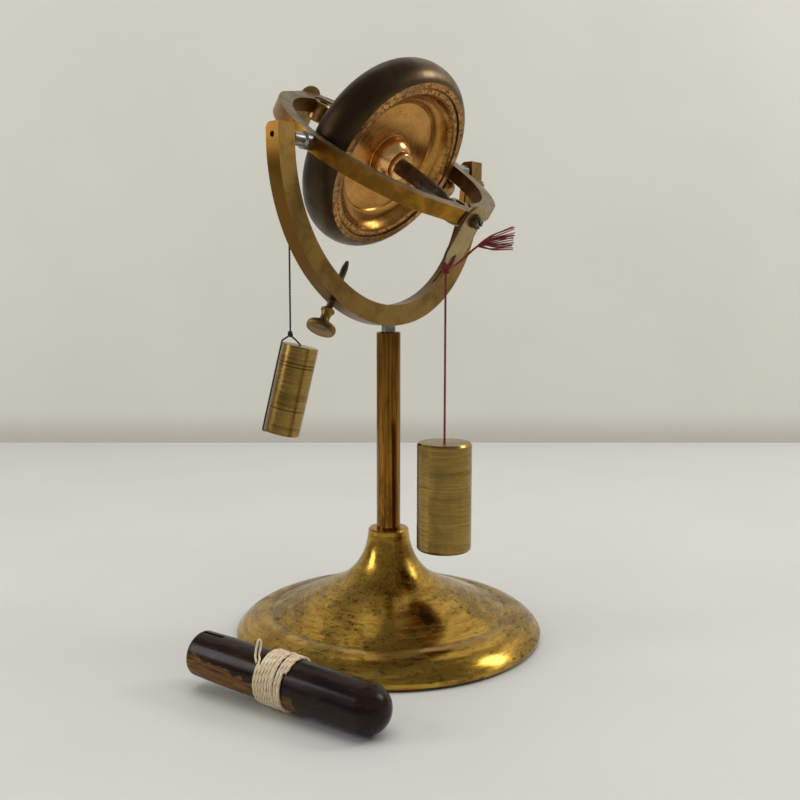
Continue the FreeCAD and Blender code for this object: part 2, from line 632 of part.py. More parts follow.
def make_thread_loop(side, radius):
    """The turn of thread through the plate's hole and under its foot, flat against both faces."""
    gap = radius + 0.1
    inner = side * (RING_END - gap)
    outer = side * (RING_END + PLATE_THICKNESS + gap)
    top = PLATE_HOLE_DROP - 0.2
    foot = PLATE_BOTTOM - 1.3
    corners = [ring_point(0, inner, top), ring_point(0, outer, top),
               ring_point(0, outer, foot), ring_point(0, inner, foot)]
    middles = [corners[k].add(corners[(k + 1) % 4]) * 0.5 for k in range(4)]
    edges = []
    for k in range(4):
        ahead = middles[k]
        behind = middles[(k + 3) % 4]
        reach = 0.9 * min(ahead.sub(corners[k]).Length, behind.sub(corners[k]).Length)
        to_ahead = ahead.sub(corners[k]).normalize()
        to_behind = behind.sub(corners[k]).normalize()
        start = corners[k].add(to_behind * reach)
        end = corners[k].add(to_ahead * reach)
        bend = corners[k].add((to_ahead + to_behind) * (reach * (1 - math.sqrt(0.5))))
        edges.append(arc(start, bend, end))
        following = corners[(k + 1) % 4]
        next_reach = 0.9 * min(middles[k].sub(following).Length,
                               middles[(k + 1) % 4].sub(following).Length)
        next_start = following.sub(to_ahead * next_reach)
        edges.append(line(end, next_start))
    path = Part.Wire(edges)
    first = edges[1]
    ring = Part.Wire(Part.makeCircle(radius, first.Vertexes[0].Point,
                                     first.Vertexes[1].Point.sub(first.Vertexes[0].Point)))
    ordered = Part.Wire(edges[1:] + edges[:1])
    return ordered.makePipeShell([ring], True, False)


def make_heavy_weight():
    """Brass cylinder with bevelled edges, a thread hole and a recess below for the stopper knot."""
    axis = knot_point(-1)
    top = HEAVY_WEIGHT_TOP
    bottom = top - HEAVY_WEIGHT_HEIGHT
    profile = [
        line(point(0.7, top), point(HEAVY_WEIGHT_R - 0.6, top)),
        line(point(HEAVY_WEIGHT_R - 0.6, top), point(HEAVY_WEIGHT_R, top - 0.8)),
        line(point(HEAVY_WEIGHT_R, top - 0.8), point(HEAVY_WEIGHT_R, bottom + 1.2)),
        arc(point(HEAVY_WEIGHT_R, bottom + 1.2), point(HEAVY_WEIGHT_R - 0.35, bottom + 0.35),
            point(HEAVY_WEIGHT_R - 1.2, bottom)),
        line(point(HEAVY_WEIGHT_R - 1.2, bottom), point(HEAVY_RECESS_R, bottom)),
        line(point(HEAVY_RECESS_R, bottom), point(HEAVY_RECESS_R, bottom + HEAVY_RECESS_DEPTH)),
        line(point(HEAVY_RECESS_R, bottom + HEAVY_RECESS_DEPTH), point(0.7, bottom + HEAVY_RECESS_DEPTH)),
        line(point(0.7, bottom + HEAVY_RECESS_DEPTH), point(0.7, top)),
    ]
    weight = revolve(profile)
    weight.translate(Vector(axis.x, axis.y, 0))
    return weight


def light_weight_place():
    """The small weight's frame: Z along its leaning axis, origin at its middle."""
    hang = knot_point(1)
    return Placement(Vector(hang.x, hang.y, LIGHT_WEIGHT_CENTRE), Rotation(LEAN_AXIS, LIGHT_WEIGHT_TILT))


def make_light_weight():
    half = LIGHT_WEIGHT_LENGTH / 2
    weight = cylinder(LIGHT_WEIGHT_R, point(0, -half), point(0, half))
    rims = [edge for edge in weight.Edges if edge.Closed]
    weight = weight.makeFillet(0.5, rims)
    weight = weight.cut(cylinder(THREAD_BORE_R, point(0, -half - 1), point(0, half + 1)))
    weight.Placement = light_weight_place()
    return weight


def make_black_sling():
    """From the apex over the rim, down the flank, under the weight and back up through its bore."""
    place = light_weight_place()
    end = LIGHT_WEIGHT_LENGTH / 2 + BLACK_THREAD_R + 0.1
    out = SLING_SIDE * (LIGHT_WEIGHT_R + BLACK_THREAD_R + 0.1)
    corners = [out + Vector(0, 0, end), out + Vector(0, 0, -end), Vector(0, 0, -end), Vector(0, 0, end)]
    apex = Vector(knot_point(1).x, knot_point(1).y, LIGHT_SLING_TOP)
    route = [place.multVec(p) for p in corners]
    starts = [apex.add((p - apex).normalize() * 0.9) for p in (route[0], route[-1])]
    return tube([starts[0]] + route + [starts[1]], BLACK_THREAD_R, "black_sling", SLING_BEND_R)


def make_red_tail():
    """The thread's long end, standing out stiffly from the knot behind the plate's +X edge."""
    knot = knot_point(-1)
    route = [knot + Vector(0.9, -0.2, 0.6)] + [knot + Vector(*p) for p in RED_TAIL_ROUTE]
    return tube(route, RED_THREAD_R, "red_tail")


def make_red_tassel():
    """The frayed end's flat fan, as one thin wedge."""
    knot = knot_point(-1)
    root = knot + Vector(*RED_TAIL_ROUTE[-1])
    upper = knot + Vector(*TASSEL_ENDS[0])
    lower = knot + Vector(*TASSEL_ENDS[1])
    thin = (upper - root).cross(lower - root).normalize() * (2 * RED_THREAD_R)
    across = (upper - lower).normalize() * RED_THREAD_R
    wedge = prism(polygon_edges([root + across, upper, lower, root - across, root + across]), thin)
    wedge.translate(thin * -0.5)
    return wedge


def make_red_leg():
    """Second leg of the tie: nipped beside the plate's shoulder, down its -X edge to the knot."""
    route = [ring_point(*p) for p in RED_LEG_ROUTE]
    return tube(route, RED_THREAD_R, "red_leg")


def make_twine_tail():
    """A narrow bight of twine standing up between the winding and the wood."""
    return tube([Vector(*p) for p in TWINE_TAIL_ROUTE], TWINE_TAIL_R, "twine_tail")


def make_handle():
    """Turned wooden starting handle: flat butt with a rounded edge, round nose, and a cross slot."""
    length = handle_line()[1].Length
    edges = [
        line(point(0, 0), point(HANDLE_R - 1.9, 0)),
        arc(point(HANDLE_R - 1.9, 0), point(HANDLE_R - 0.75, 0.75), point(HANDLE_R - 0.3, 2.4)),
        line(point(HANDLE_R - 0.3, 2.4), point(HANDLE_R, 14.0)),
        line(point(HANDLE_R, 14.0), point(HANDLE_R, length)),
        arc(point(HANDLE_R, length), point(HANDLE_R * math.sqrt(0.5), length + HANDLE_R * math.sqrt(0.5)),
            point(0, length + HANDLE_R)),
        line(point(0, length + HANDLE_R), point(0, 0)),
    ]
    handle = revolve(edges)
    handle = handle.cut(block((HANDLE_R - 3.5, HANDLE_R + 1), (-0.6, 0.6), (2.0, 11.0)))
    handle.Placement = handle_place()
    return handle


def handle_line():
    """The butt's centre and the vector to the nose's; the handle lies on its winding and its nose."""
    flat = math.dist(HANDLE_BUTT, HANDLE_NOSE)
    to_winding = flat - (WINDING_FROM + WINDING_TO) / 2
    slope = (WINDING_THICKNESS + 0.1) / to_winding
    start = Vector(*HANDLE_BUTT, HANDLE_R + TABLE_GAP + slope * flat)
    return start, Vector(*HANDLE_NOSE, HANDLE_R + TABLE_GAP) - start


def handle_place():
    """The handle's frame: Z along its axis from the butt, X up."""
    start, along = handle_line()
    return Placement(start, Rotation(Z_AXIS, ORIGIN, along, "ZXY"))


def make_winding():
    """The wound twine's outer shape: a sleeve that bulges a little and closes on the wood."""
    skin = HANDLE_R + WINDING_THICKNESS
    seat = HANDLE_R + 0.02
    middle = (WINDING_FROM + WINDING_TO) / 2
    edges = [
        line(point(seat, WINDING_FROM), point(seat, WINDING_TO)),
        arc(point(seat, WINDING_TO), point(skin - 0.4, WINDING_TO - 0.4), point(skin, WINDING_TO - 1.6)),
        arc(point(skin, WINDING_TO - 1.6), point(skin + 0.1, middle), point(skin, WINDING_FROM + 1.6)),
        arc(point(skin, WINDING_FROM + 1.6), point(skin - 0.4, WINDING_FROM + 0.4),
            point(seat, WINDING_FROM)),
    ]
    sleeve = revolve(edges)
    sleeve.Placement = handle_place()
    return sleeve


def export(name, shape):
    shape.exportStep(f"parts/{name}.step")
    box = shape.optimalBoundingBox(True, False)
    print(f"{name}: {len(shape.Solids)} solid, valid {shape.isValid()}, {shape.Volume:.0f} mm3, "
          f"x {box.XMin:.1f}..{box.XMax:.1f} y {box.YMin:.1f}..{box.YMax:.1f} "
          f"z {box.ZMin:.1f}..{box.ZMax:.1f}")


def build():
    near_knot = knot_point(-1)
    far_knot = knot_point(1)
    heavy_ceiling = HEAVY_WEIGHT_TOP - HEAVY_WEIGHT_HEIGHT + HEAVY_RECESS_DEPTH
    sling_top = Vector(far_knot.x, far_knot.y, LIGHT_SLING_TOP)
    parts = {
        "foot": make_foot(),
        "stem": make_stem(),
        "foot_washer": make_foot_washer(),
        "foot_nut": make_foot_nut(),
        "fork": make_fork(),
        "fork_pivot": make_fork_pivot(),
        "keeper_screw": make_keeper_screw(),
        "clamp_screw_shank": make_clamp_shank(),
        "clamp_screw_knob": make_clamp_knob(),
        "gimbal_ring": make_gimbal_ring(),
        "left_trunnion": make_trunnion(-1),
        "right_trunnion": make_trunnion(1),
        "trim_knob": make_trim_knob(),
        "rotor_rim": make_rotor_rim(),
        "rotor_disc": make_rotor_disc(),
        "rotor_shaft": make_rotor_shaft(),
        "heavy_weight": make_heavy_weight(),
        "light_weight": make_light_weight(),
        "starting_handle": make_handle(),
        "twine_winding": make_winding(),
        "red_knot": make_knot(near_knot, KNOT_R, 1.2),
        "far_knot": make_knot(far_knot, KNOT_R - 0.2, 1.0),
        "red_leg": make_red_leg(),
        "red_tail": make_red_tail(),
        "red_tassel": make_red_tassel(),
        "red_thread": tube([near_knot - Vector(0, 0, 1.6), Vector(near_knot.x, near_knot.y, heavy_ceiling)],
                           RED_THREAD_R, "red_thread"),
        "heavy_stop_knot": make_knot(Vector(near_knot.x, near_knot.y, heavy_ceiling - 1.3), 1.9, 1.3),
        "black_thread": tube([far_knot - Vector(0, 0, 1.4), sling_top + Vector(0, 0, 1.2)],
                             BLACK_THREAD_R, "black_thread"),
        "sling_knot": make_knot(sling_top, 0.95, 1.2),
        "black_sling": make_black_sling(),
        "twine_tail": make_twine_tail(),
        "red_loop": make_thread_loop(-1, RED_THREAD_R),
        "black_loop": make_thread_loop(1, BLACK_THREAD_R),
    }
    paired = {
        "bearing_bush": make_bush(),
        "pivot_screw": make_pivot_screw(),
        "hanger_plate": make_hanger_plate(),
        "hub_collar": make_hub_collar(),
    }
    for name, shape in paired.items():
        parts["near_" + name] = in_ring(shape)
        parts["far_" + name] = in_ring(mirrored_y(shape))
    return parts


os.makedirs("parts", exist_ok=True)
for node, solid in build().items():
    export(node, solid)
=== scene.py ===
import math
import random

import bmesh
import bpy
from mathutils import Matrix, Vector


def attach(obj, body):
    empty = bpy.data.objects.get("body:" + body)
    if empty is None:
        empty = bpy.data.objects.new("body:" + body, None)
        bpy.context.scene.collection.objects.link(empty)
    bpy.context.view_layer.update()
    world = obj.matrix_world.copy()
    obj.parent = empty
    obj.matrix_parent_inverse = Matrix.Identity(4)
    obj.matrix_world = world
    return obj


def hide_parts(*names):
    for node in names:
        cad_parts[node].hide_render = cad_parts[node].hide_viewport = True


# Looks of the demonstration gyroscope: materials for every CAD part, the threads, knots and twine,
# and the table, wall, lights and camera. Metres, in the CAD frame: +Z up the stem, +X along the tilt axis.

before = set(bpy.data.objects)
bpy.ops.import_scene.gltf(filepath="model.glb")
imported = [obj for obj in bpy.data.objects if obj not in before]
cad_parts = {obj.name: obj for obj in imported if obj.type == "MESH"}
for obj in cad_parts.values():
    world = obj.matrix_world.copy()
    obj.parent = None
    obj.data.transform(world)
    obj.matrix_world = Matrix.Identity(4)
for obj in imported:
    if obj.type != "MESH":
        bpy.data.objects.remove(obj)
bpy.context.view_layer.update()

MM = 0.001
TILT = math.radians(33.5)                  # the ring's lean about +X at rest
RING_CENTRE = Vector((-1.5, 0, 189.0)) * MM
RING_END = 46.8 * MM
PLATE_BOTTOM = -18.8 * MM
AXLE_DIRECTION = Vector((0, math.cos(TILT), math.sin(TILT)))
RING_NORMAL = Vector((0, -math.sin(TILT), math.cos(TILT)))
UP = Vector((0, 0, 1))

CAMERA_PLACE = Vector((-0.2929, -0.2207, 0.1363))
CAMERA_HEADING = math.radians(53.0)        # from +Y towards +X
CAMERA_PITCH = math.radians(-6.5)
CAMERA_LENS = 41.85
CAMERA_SHIFT = 0.0144
WALL_DISTANCE = 0.482                      # wall's foot behind the stem, along the view

RED_THREAD_D = 0.84 * MM
BLACK_THREAD_D = 0.76 * MM
TWINE_D = 1.25 * MM
LEG_D = 0.62 * MM
PLY_R = 0.31 * MM
CLEARANCE = 0.1 * MM                       # between a cord and what it lies on
LIGHT_WEIGHT_R = 7.75 * MM
LIGHT_WEIGHT_HALF = 19.3 * MM


def ring_point(x, y, z):
    """A place in the ring's own level frame, in metres, carried to the tilted ring."""
    return RING_CENTRE + Matrix.Rotation(TILT, 3, "X") @ Vector((x, y, z))


NEAR_KNOT = ring_point(0, -RING_END - 0.5 * MM, PLATE_BOTTOM - 2.4 * MM)
FAR_KNOT = ring_point(0, RING_END + 0.5 * MM, PLATE_BOTTOM - 2.4 * MM)


# ---- node helpers ----
class Nodes:
    """Builds one material's node tree. Sockets are passed around as plain values."""

    def __init__(self, name):
        self.material = bpy.data.materials.new(name)
        self.material.use_nodes = True
        self.tree = self.material.node_tree
        self.tree.nodes.clear()
        self.output = self.add("ShaderNodeOutputMaterial")
        self.shader = self.add("ShaderNodeBsdfPrincipled")
        self.link(self.shader.outputs["BSDF"], self.output.inputs["Surface"])
        coordinates = self.add("ShaderNodeTexCoord")
        self.place = coordinates.outputs["Object"]
        self.facing = coordinates.outputs["Normal"]

    def add(self, kind, **settings):
        node = self.tree.nodes.new(kind)
        for key, value in settings.items():
            setattr(node, key, value)
        return node

    def link(self, source, target):
        self.tree.links.new(source, target)

    def feed(self, socket, value):
        if isinstance(value, bpy.types.NodeSocket):
            self.link(value, socket)
        else:
            socket.default_value = value

    def math(self, operation, a, b=0.0):
        node = self.add("ShaderNodeMath", operation=operation)
        for socket, value in zip(node.inputs, (a, b)):
            self.feed(socket, value)
        return node.outputs[0]

    def times(self, a, b):
        return self.math("MULTIPLY", a, b)

    def plus(self, a, b):
        return self.math("ADD", a, b)

    def minus(self, a, b):
        return self.math("SUBTRACT", a, b)

    def mapped(self, vector, scale=(1, 1, 1), rotation=(0, 0, 0), location=(0, 0, 0)):
        node = self.add("ShaderNodeMapping")
        self.feed(node.inputs["Vector"], vector)
        node.inputs["Scale"].default_value = scale
        node.inputs["Rotation"].default_value = rotation
        node.inputs["Location"].default_value = location
        return node.outputs[0]

    def noise(self, vector, scale, detail=4.0, roughness=0.55, distortion=0.0):
        node = self.add("ShaderNodeTexNoise")
        self.feed(node.inputs["Vector"], vector)
        node.inputs["Scale"].default_value = scale
        node.inputs["Detail"].default_value = detail
        node.inputs["Roughness"].default_value = roughness
        node.inputs["Distortion"].default_value = distortion
        return node.outputs["Fac"]

    def cells(self, vector, scale):
        node = self.add("ShaderNodeTexVoronoi")
        self.feed(node.inputs["Vector"], vector)
        node.inputs["Scale"].default_value = scale
        return node.outputs["Distance"]

    def band(self, value, low, high, out_low=0.0, out_high=1.0):
        """Smoothly remaps low..high to out_low..out_high and clamps."""
        node = self.add("ShaderNodeMapRange", interpolation_type="SMOOTHSTEP")
        for socket, number in zip(node.inputs, (value, low, high, out_low, out_high)):
            self.feed(socket, number)
        return node.outputs[0]

    def colour(self, factor, first, second):
        node = self.add("ShaderNodeMix", data_type="RGBA")
        self.feed(node.inputs[0], factor)
        for socket, value in ((node.inputs[6], first), (node.inputs[7], second)):
            self.feed(socket, (*value, 1.0) if isinstance(value, tuple) else value)
        return node.outputs[2]

    def axial(self, vector):
        """Angle (in turns), radius and height of a place about the Z axis of the given frame."""
        split = self.add("ShaderNodeSeparateXYZ")
        self.feed(split.inputs[0], vector)
        x, y, z = split.outputs
        angle = self.math("DIVIDE", self.math("ARCTAN2", y, x), 2 * math.pi)
        radius = self.math("SQRT", self.plus(self.times(x, x), self.times(y, y)))
        return angle, radius, z

    def joined(self, x, y, z):
        node = self.add("ShaderNodeCombineXYZ")
        for socket, value in zip(node.inputs, (x, y, z)):
            self.feed(socket, value)
        return node.outputs[0]

    def stretched(self, angle, radius, along, factors):
        """A place made of angle, radius and height, each multiplied by its own factor."""
        values = (angle, radius, along)
        return self.joined(*(self.times(value, factor) for value, factor in zip(values, factors)))

    def facing_along(self, direction, low, high):
        """1 where the surface faces along the direction, 0 where it doesn't."""
        node = self.add("ShaderNodeVectorMath", operation="DOT_PRODUCT")
        self.feed(node.inputs[0], self.facing)
        node.inputs[1].default_value = direction
        return self.band(node.outputs["Value"], low, high)

    def finish(self, colour, roughness, height=None, bump_depth=0.02, metallic=1.0, **constants):
        self.feed(self.shader.inputs["Base Color"], (*colour, 1.0) if isinstance(colour, tuple) else colour)
        self.feed(self.shader.inputs["Roughness"], roughness)
        self.shader.inputs["Metallic"].default_value = metallic
        for key, value in constants.items():
            self.shader.inputs[key].default_value = value
        if height is not None:
            bump = self.add("ShaderNodeBump")
            bump.inputs["Strength"].default_value = 0.6
            bump.inputs["Distance"].default_value = bump_depth * MM
            self.feed(bump.inputs["Height"], height)
            self.link(bump.outputs[0], self.shader.inputs["Normal"])
        return self.material


def about_axis(nodes, centre, direction):
    """Coordinates whose Z axis is a line through the centre along the direction."""
    turn = Vector(direction).rotation_difference(Vector((0, 0, 1))).to_matrix()
    shift = -(turn @ Vector(centre))
    return nodes.mapped(nodes.place, rotation=turn.to_euler(), location=shift)


# ---- metals ----
def turned_brass(name, base, dark, bright, centre=(0, 0, 0), direction=(0, 0, 1), rough=(0.24, 0.5),
                 stain=(0.52, 0.68), rings=9000.0, stain_scale=90.0, bump_depth=0.012, speck_scale=900.0,
                 speck_amount=0.12):
    """Aged brass turned about an axis: fine lathe rings, stains, specks and uneven polish."""
    n = Nodes(name)
    local = about_axis(n, centre, direction)
    angle, radius, along = n.axial(local)
    ring_place = n.stretched(angle, radius, along, (3.0, rings / 10, rings / 10))
    rings_value = n.noise(ring_place, 1.0, 3.0, 0.7)
    broad = n.noise(local, stain_scale, 5.0, 0.62, 0.4)
    fine = n.noise(local, stain_scale * 7, 4.0, 0.6)
    streaks = n.noise(n.stretched(angle, radius, along, (8.0, 260.0, 260.0)), 1.0, 4.0, 0.65)
    patina = n.band(n.plus(n.times(broad, 0.7), n.times(fine, 0.3)), *stain)
    tone = n.colour(n.band(streaks, 0.36, 0.66), base, bright)
    tone = n.colour(n.times(patina, 0.85), tone, dark)
    specks = n.band(n.cells(local, speck_scale), speck_amount, speck_amount * 0.45)
    speck_field = n.times(specks, n.band(n.noise(local, stain_scale * 1.6, 3.0), 0.5, 0.62))
    tone = n.colour(n.times(speck_field, 0.8), tone, tuple(c * 0.35 for c in dark))
    shine = n.band(n.plus(n.times(patina, 0.6), n.times(rings_value, 0.4)),
                   0.15, 0.85, rough[0], rough[1])
    height = n.plus(n.times(rings_value, 0.7), n.times(fine, 0.5))
    return n.finish(tone, shine, height, bump_depth)


def foot_brass():
    """Spun foot: golden, with green-brown patches, dark pitting and worn streaks round the axis."""
    n = Nodes("foot_brass_aged")
    angle, radius, along = n.axial(n.place)
    swirl = n.stretched(angle, radius, along, (14.0, 330.0, 330.0))
    streaks = n.noise(swirl, 1.0, 6.0, 0.66)
    patches = n.noise(n.mapped(n.place, (1, 1, 1.7)), 42.0, 6.0, 0.64, 0.5)
    grime = n.noise(n.place, 260.0, 5.0, 0.66, 0.3)
    tone = n.colour(n.band(streaks, 0.38, 0.64), (0.37, 0.205, 0.029), (0.60, 0.37, 0.070))
    green = n.band(patches, 0.44, 0.62)
    tone = n.colour(n.times(green, 0.7), tone, (0.215, 0.140, 0.024))
    pits = n.times(n.band(grime, 0.56, 0.68), n.band(patches, 0.38, 0.6))
    tone = n.colour(n.times(pits, 0.85), tone, (0.07, 0.05, 0.022))
    # painted shade: a dark line along the foot's crease, patchy where the grime noise is low
    crease = n.times(n.band(radius, 0.0455, 0.0470), n.band(radius, 0.0492, 0.0474))
    tone = n.colour(n.times(crease, n.band(grime, 0.44, 0.62, 0.0, 0.6)), tone, (0.10, 0.065, 0.022))
    neck = n.band(along, 0.014, 0.034)
    tone = n.colour(n.times(neck, 0.4), tone, (0.52, 0.29, 0.045))
    shine = n.plus(n.band(green, 0.0, 1.0, 0.17, 0.32), n.band(pits, 0.0, 1.0, 0.0, 0.22))
    shine = n.plus(shine, n.band(streaks, 0.35, 0.7, 0.0, 0.08))
    scratches = n.noise(n.stretched(angle, radius, along, (60.0, 1150.0, 900.0)), 1.0, 3.0, 0.6)
    tone = n.colour(n.times(n.band(scratches, 0.56, 0.68), 0.6), tone, (0.10, 0.058, 0.014))
    drawn_out = n.stretched(angle, radius, along, (100.0, 850.0, 850.0))
    fine_pits = n.times(n.band(n.noise(drawn_out, 1.0, 3.0, 0.62), 0.57, 0.66),
                       n.band(patches, 0.40, 0.55, 0.25, 0.9))
    tone = n.colour(fine_pits, tone, (0.075, 0.045, 0.016))
    height = n.plus(n.times(grime, 0.8), n.times(scratches, 0.35))
    height = n.minus(height, n.times(pits, 0.5))
    return n.finish(tone, shine, height, 0.05)


def stem_brass():
    """Drawn rod: long streaks of brown and gold up its length."""
    n = Nodes("stem_brass_aged")
    angle, _, along = n.axial(n.place)
    grain = n.noise(n.joined(n.times(angle, 34.0), 0.0, n.times(along, 26.0)), 1.0, 5.0, 0.6)
    blotch = n.noise(n.mapped(n.place, (1, 1, 0.3)), 130.0, 5.0, 0.6, 0.4)
    fine = n.noise(n.mapped(n.place, (1, 1, 0.12)), 1400.0, 3.0, 0.6)
    tone = n.colour(n.band(grain, 0.38, 0.62), (0.160, 0.066, 0.010), (0.34, 0.160, 0.026))
    tone = n.colour(n.times(n.band(blotch, 0.5, 0.66), 0.75), tone, (0.10, 0.042, 0.010))
    shine = n.band(blotch, 0.4, 0.7, 0.15, 0.30)
    height = n.plus(n.times(fine, 0.6), n.times(blotch, 0.4))
    return n.finish(tone, shine, height, 0.012)


def satin_brass(name, flat_tone, edge_tone, dark, face=(0, 1, 0), edge_rough=0.3, face_rough=0.42, scale=1.0):
    """Filed and rubbed bar: one tone on its flat faces, another on its rims, with grain and marks."""
    n = Nodes(name)
    front = n.math("MAXIMUM", n.facing_along(face, 0.6, 0.85),
                   n.facing_along(tuple(-c for c in face), 0.6, 0.85))
    grain = n.noise(n.mapped(n.place, (1, 0.25, 1)), 1500.0 * scale, 3.0, 0.6)
    cloud = n.noise(n.place, 75.0 * scale, 6.0, 0.62, 0.5)
    marks = n.band(n.noise(n.mapped(n.place, (1, 5, 0.4), (0.4, 0.2, 0.5)), 420.0, 4.0, 0.6), 0.58, 0.7)
    tone = n.colour(front, edge_tone, flat_tone)
    tone = n.colour(n.times(n.band(cloud, 0.42, 0.66), 0.7), tone, dark)
    tone = n.colour(n.times(marks, 0.4), tone, tuple(min(1.0, c * 1.25) for c in edge_tone))
    shine = n.plus(n.band(front, 0.0, 1.0, edge_rough, face_rough), n.band(cloud, 0.4, 0.7, 0.0, 0.1))
    height = n.plus(n.times(grain, 0.6), n.times(cloud, 0.5))
    return n.finish(tone, shine, height, 0.015)


def rotor_disc_metal():
    """Dished disc: coppery gold, polished round the hub, specked with brown towards the rim."""
    n = Nodes("rotor_disc_copper")
    local = about_axis(n, RING_CENTRE, AXLE_DIRECTION)
    angle, radius, along = n.axial(local)
    rings = n.noise(n.stretched(angle, radius, along, (2.0, 1500.0, 700.0)), 1.0, 3.0, 0.6)
    cloud = n.noise(local, 85.0, 6.0, 0.62, 0.6)
    specks = n.noise(local, 620.0, 4.0, 0.7)
    tone = n.colour(n.band(cloud, 0.36, 0.62), (0.52, 0.262, 0.066), (0.40, 0.185, 0.038))
    hub = n.band(radius, 0.0105, 0.0085)
    tone = n.colour(n.times(hub, 0.85), tone, (0.86, 0.50, 0.19))
    border = n.band(radius, 0.0278, 0.0300)
    dirt = n.times(n.band(specks, 0.46, 0.62), n.band(radius, 0.0262, 0.0300, 0.10, 1.0))
    tone = n.colour(n.times(dirt, 0.85), tone, (0.10, 0.05, 0.022))
    rim_stain = n.times(border, n.band(cloud, 0.40, 0.58))
    tone = n.colour(n.times(rim_stain, 0.6), tone, (0.22, 0.12, 0.05))
    # painted shade: a dark ring at the disc's edge, in the groove where it meets the rim
    groove = n.times(n.band(radius, 0.0306, 0.0309), n.band(radius, 0.0314, 0.0311))
    tone = n.colour(n.times(groove, 0.8), tone, (0.07, 0.04, 0.02))
    shine = n.plus(n.band(dirt, 0.0, 1.0, 0.20, 0.5), n.band(rings, 0.3, 0.7, 0.0, 0.1))
    height = n.plus(n.times(rings, 0.5), n.times(specks, 0.4))
    return n.finish(tone, shine, height, 0.010)


def rotor_rim_metal():
    """Rim: dark brown-grey bloom with faint turning lines, and painted shade that darkens it towards one
    side.
    """
    n = Nodes("rotor_rim_dark")
    local = about_axis(n, RING_CENTRE, AXLE_DIRECTION)
    angle, radius, along = n.axial(local)
    lines = n.noise(n.stretched(angle, radius, along, (5.0, 500.0, 900.0)), 1.0, 4.0, 0.65)
    cloud = n.noise(local, 70.0, 6.0, 0.65, 0.7)
    fine = n.noise(local, 900.0, 4.0, 0.65)
    tone = n.colour(n.band(cloud, 0.36, 0.66), (0.170, 0.118, 0.062), (0.095, 0.062, 0.032))
    tone = n.colour(n.times(n.band(lines, 0.52, 0.7), 0.5), tone, (0.22, 0.155, 0.085))
    tone = n.colour(n.times(n.band(fine, 0.58, 0.72), 0.4), tone, (0.05, 0.036, 0.028))
    # painted shade: darkens the rim towards one side of the rotor's own frame, so the darker side turns with
    # the rotor
    split = n.add("ShaderNodeSeparateXYZ")
    n.feed(split.inputs[0], local)
    tone = n.colour(n.band(split.outputs[0], 0.0, -0.040, 0.0, 0.85), tone, (0.024, 0.014, 0.007))
    shine = n.plus(n.band(cloud, 0.35, 0.7, 0.33, 0.45), n.band(lines, 0.3, 0.7, 0.0, 0.06))
    height = n.plus(n.times(lines, 0.6), n.times(fine, 0.5))
    return n.finish(tone, shine, height, 0.015)


def ring_brass():
    """Gimbal ring: greyed flat faces, a golden rubbed band round the outside and dull inner wall."""
    n = Nodes("ring_brass_worn")
    flat = n.math("MAXIMUM", n.facing_along(tuple(RING_NORMAL), 0.6, 0.85),
                  n.facing_along(tuple(-RING_NORMAL), 0.6, 0.85))
    local = about_axis(n, RING_CENTRE, RING_NORMAL)
    angle, radius, along = n.axial(local)
    grain = n.noise(n.stretched(angle, radius, along, (90.0, 900.0, 2400.0)), 1.0, 3.0, 0.6)
    cloud = n.noise(local, 95.0, 6.0, 0.64, 0.5)
    fine = n.noise(local, 1100.0, 4.0, 0.65)
    band = n.colour(n.band(cloud, 0.36, 0.6), (0.36, 0.172, 0.022), (0.19, 0.086, 0.013))
    face = n.colour(n.band(cloud, 0.38, 0.62), (0.37, 0.29, 0.185), (0.22, 0.165, 0.095))
    tone = n.colour(flat, band, face)
    tone = n.colour(n.times(n.band(fine, 0.58, 0.72), 0.5), tone, (0.08, 0.055, 0.03))
    shine = n.plus(n.band(flat, 0.0, 1.0, 0.33, 0.46), n.band(grain, 0.3, 0.7, 0.0, 0.12))
    height = n.plus(n.times(grain, 0.6), n.times(fine, 0.4))
    return n.finish(tone, shine, height, 0.012)


def weight_brass(name, centre, direction, scribed=()):
    """Turned weight: close rings all the way down, with darker bands, scores and greenish bloom."""
    n = Nodes(name)
    local = about_axis(n, centre, direction)
    angle, radius, along = n.axial(local)
    rings = n.noise(n.stretched(angle, radius, along, (3.0, 1800.0, 2100.0)), 1.0, 4.0, 0.75)
    broad_rings = n.noise(n.joined(n.times(angle, 0.8), 0.0, n.times(along, 260.0)),
                          1.0, 4.0, 0.6)
    cloud = n.noise(n.mapped(local, (1, 1, 0.5)), 120.0, 5.0, 0.62, 0.4)
    scores = n.noise(n.joined(n.times(angle, 55.0), 0.0, n.times(along, 60.0)), 1.0, 3.0, 0.6)
    tone = n.colour(n.band(rings, 0.22, 0.80), (0.22, 0.130, 0.030), (0.42, 0.275, 0.078))
    tone = n.colour(n.times(n.band(broad_rings, 0.52, 0.66), 0.55), tone, (0.13, 0.078, 0.020))
    tone = n.colour(n.times(n.band(cloud, 0.5, 0.66), 0.5), tone, (0.18, 0.135, 0.042))
    tone = n.colour(n.times(n.band(scores, 0.62, 0.7), 0.45), tone, (0.1, 0.075, 0.03))
    for height in scribed:
        line = n.band(n.math("ABSOLUTE", n.minus(along, height)), 0.00045, 0.00015)
        tone = n.colour(n.times(line, 0.75), tone, (0.05, 0.032, 0.014))
    shine = n.band(n.plus(n.times(rings, 0.5), n.times(cloud, 0.5)), 0.3, 0.7, 0.2, 0.38)
    return n.finish(tone, shine, rings, 0.012)


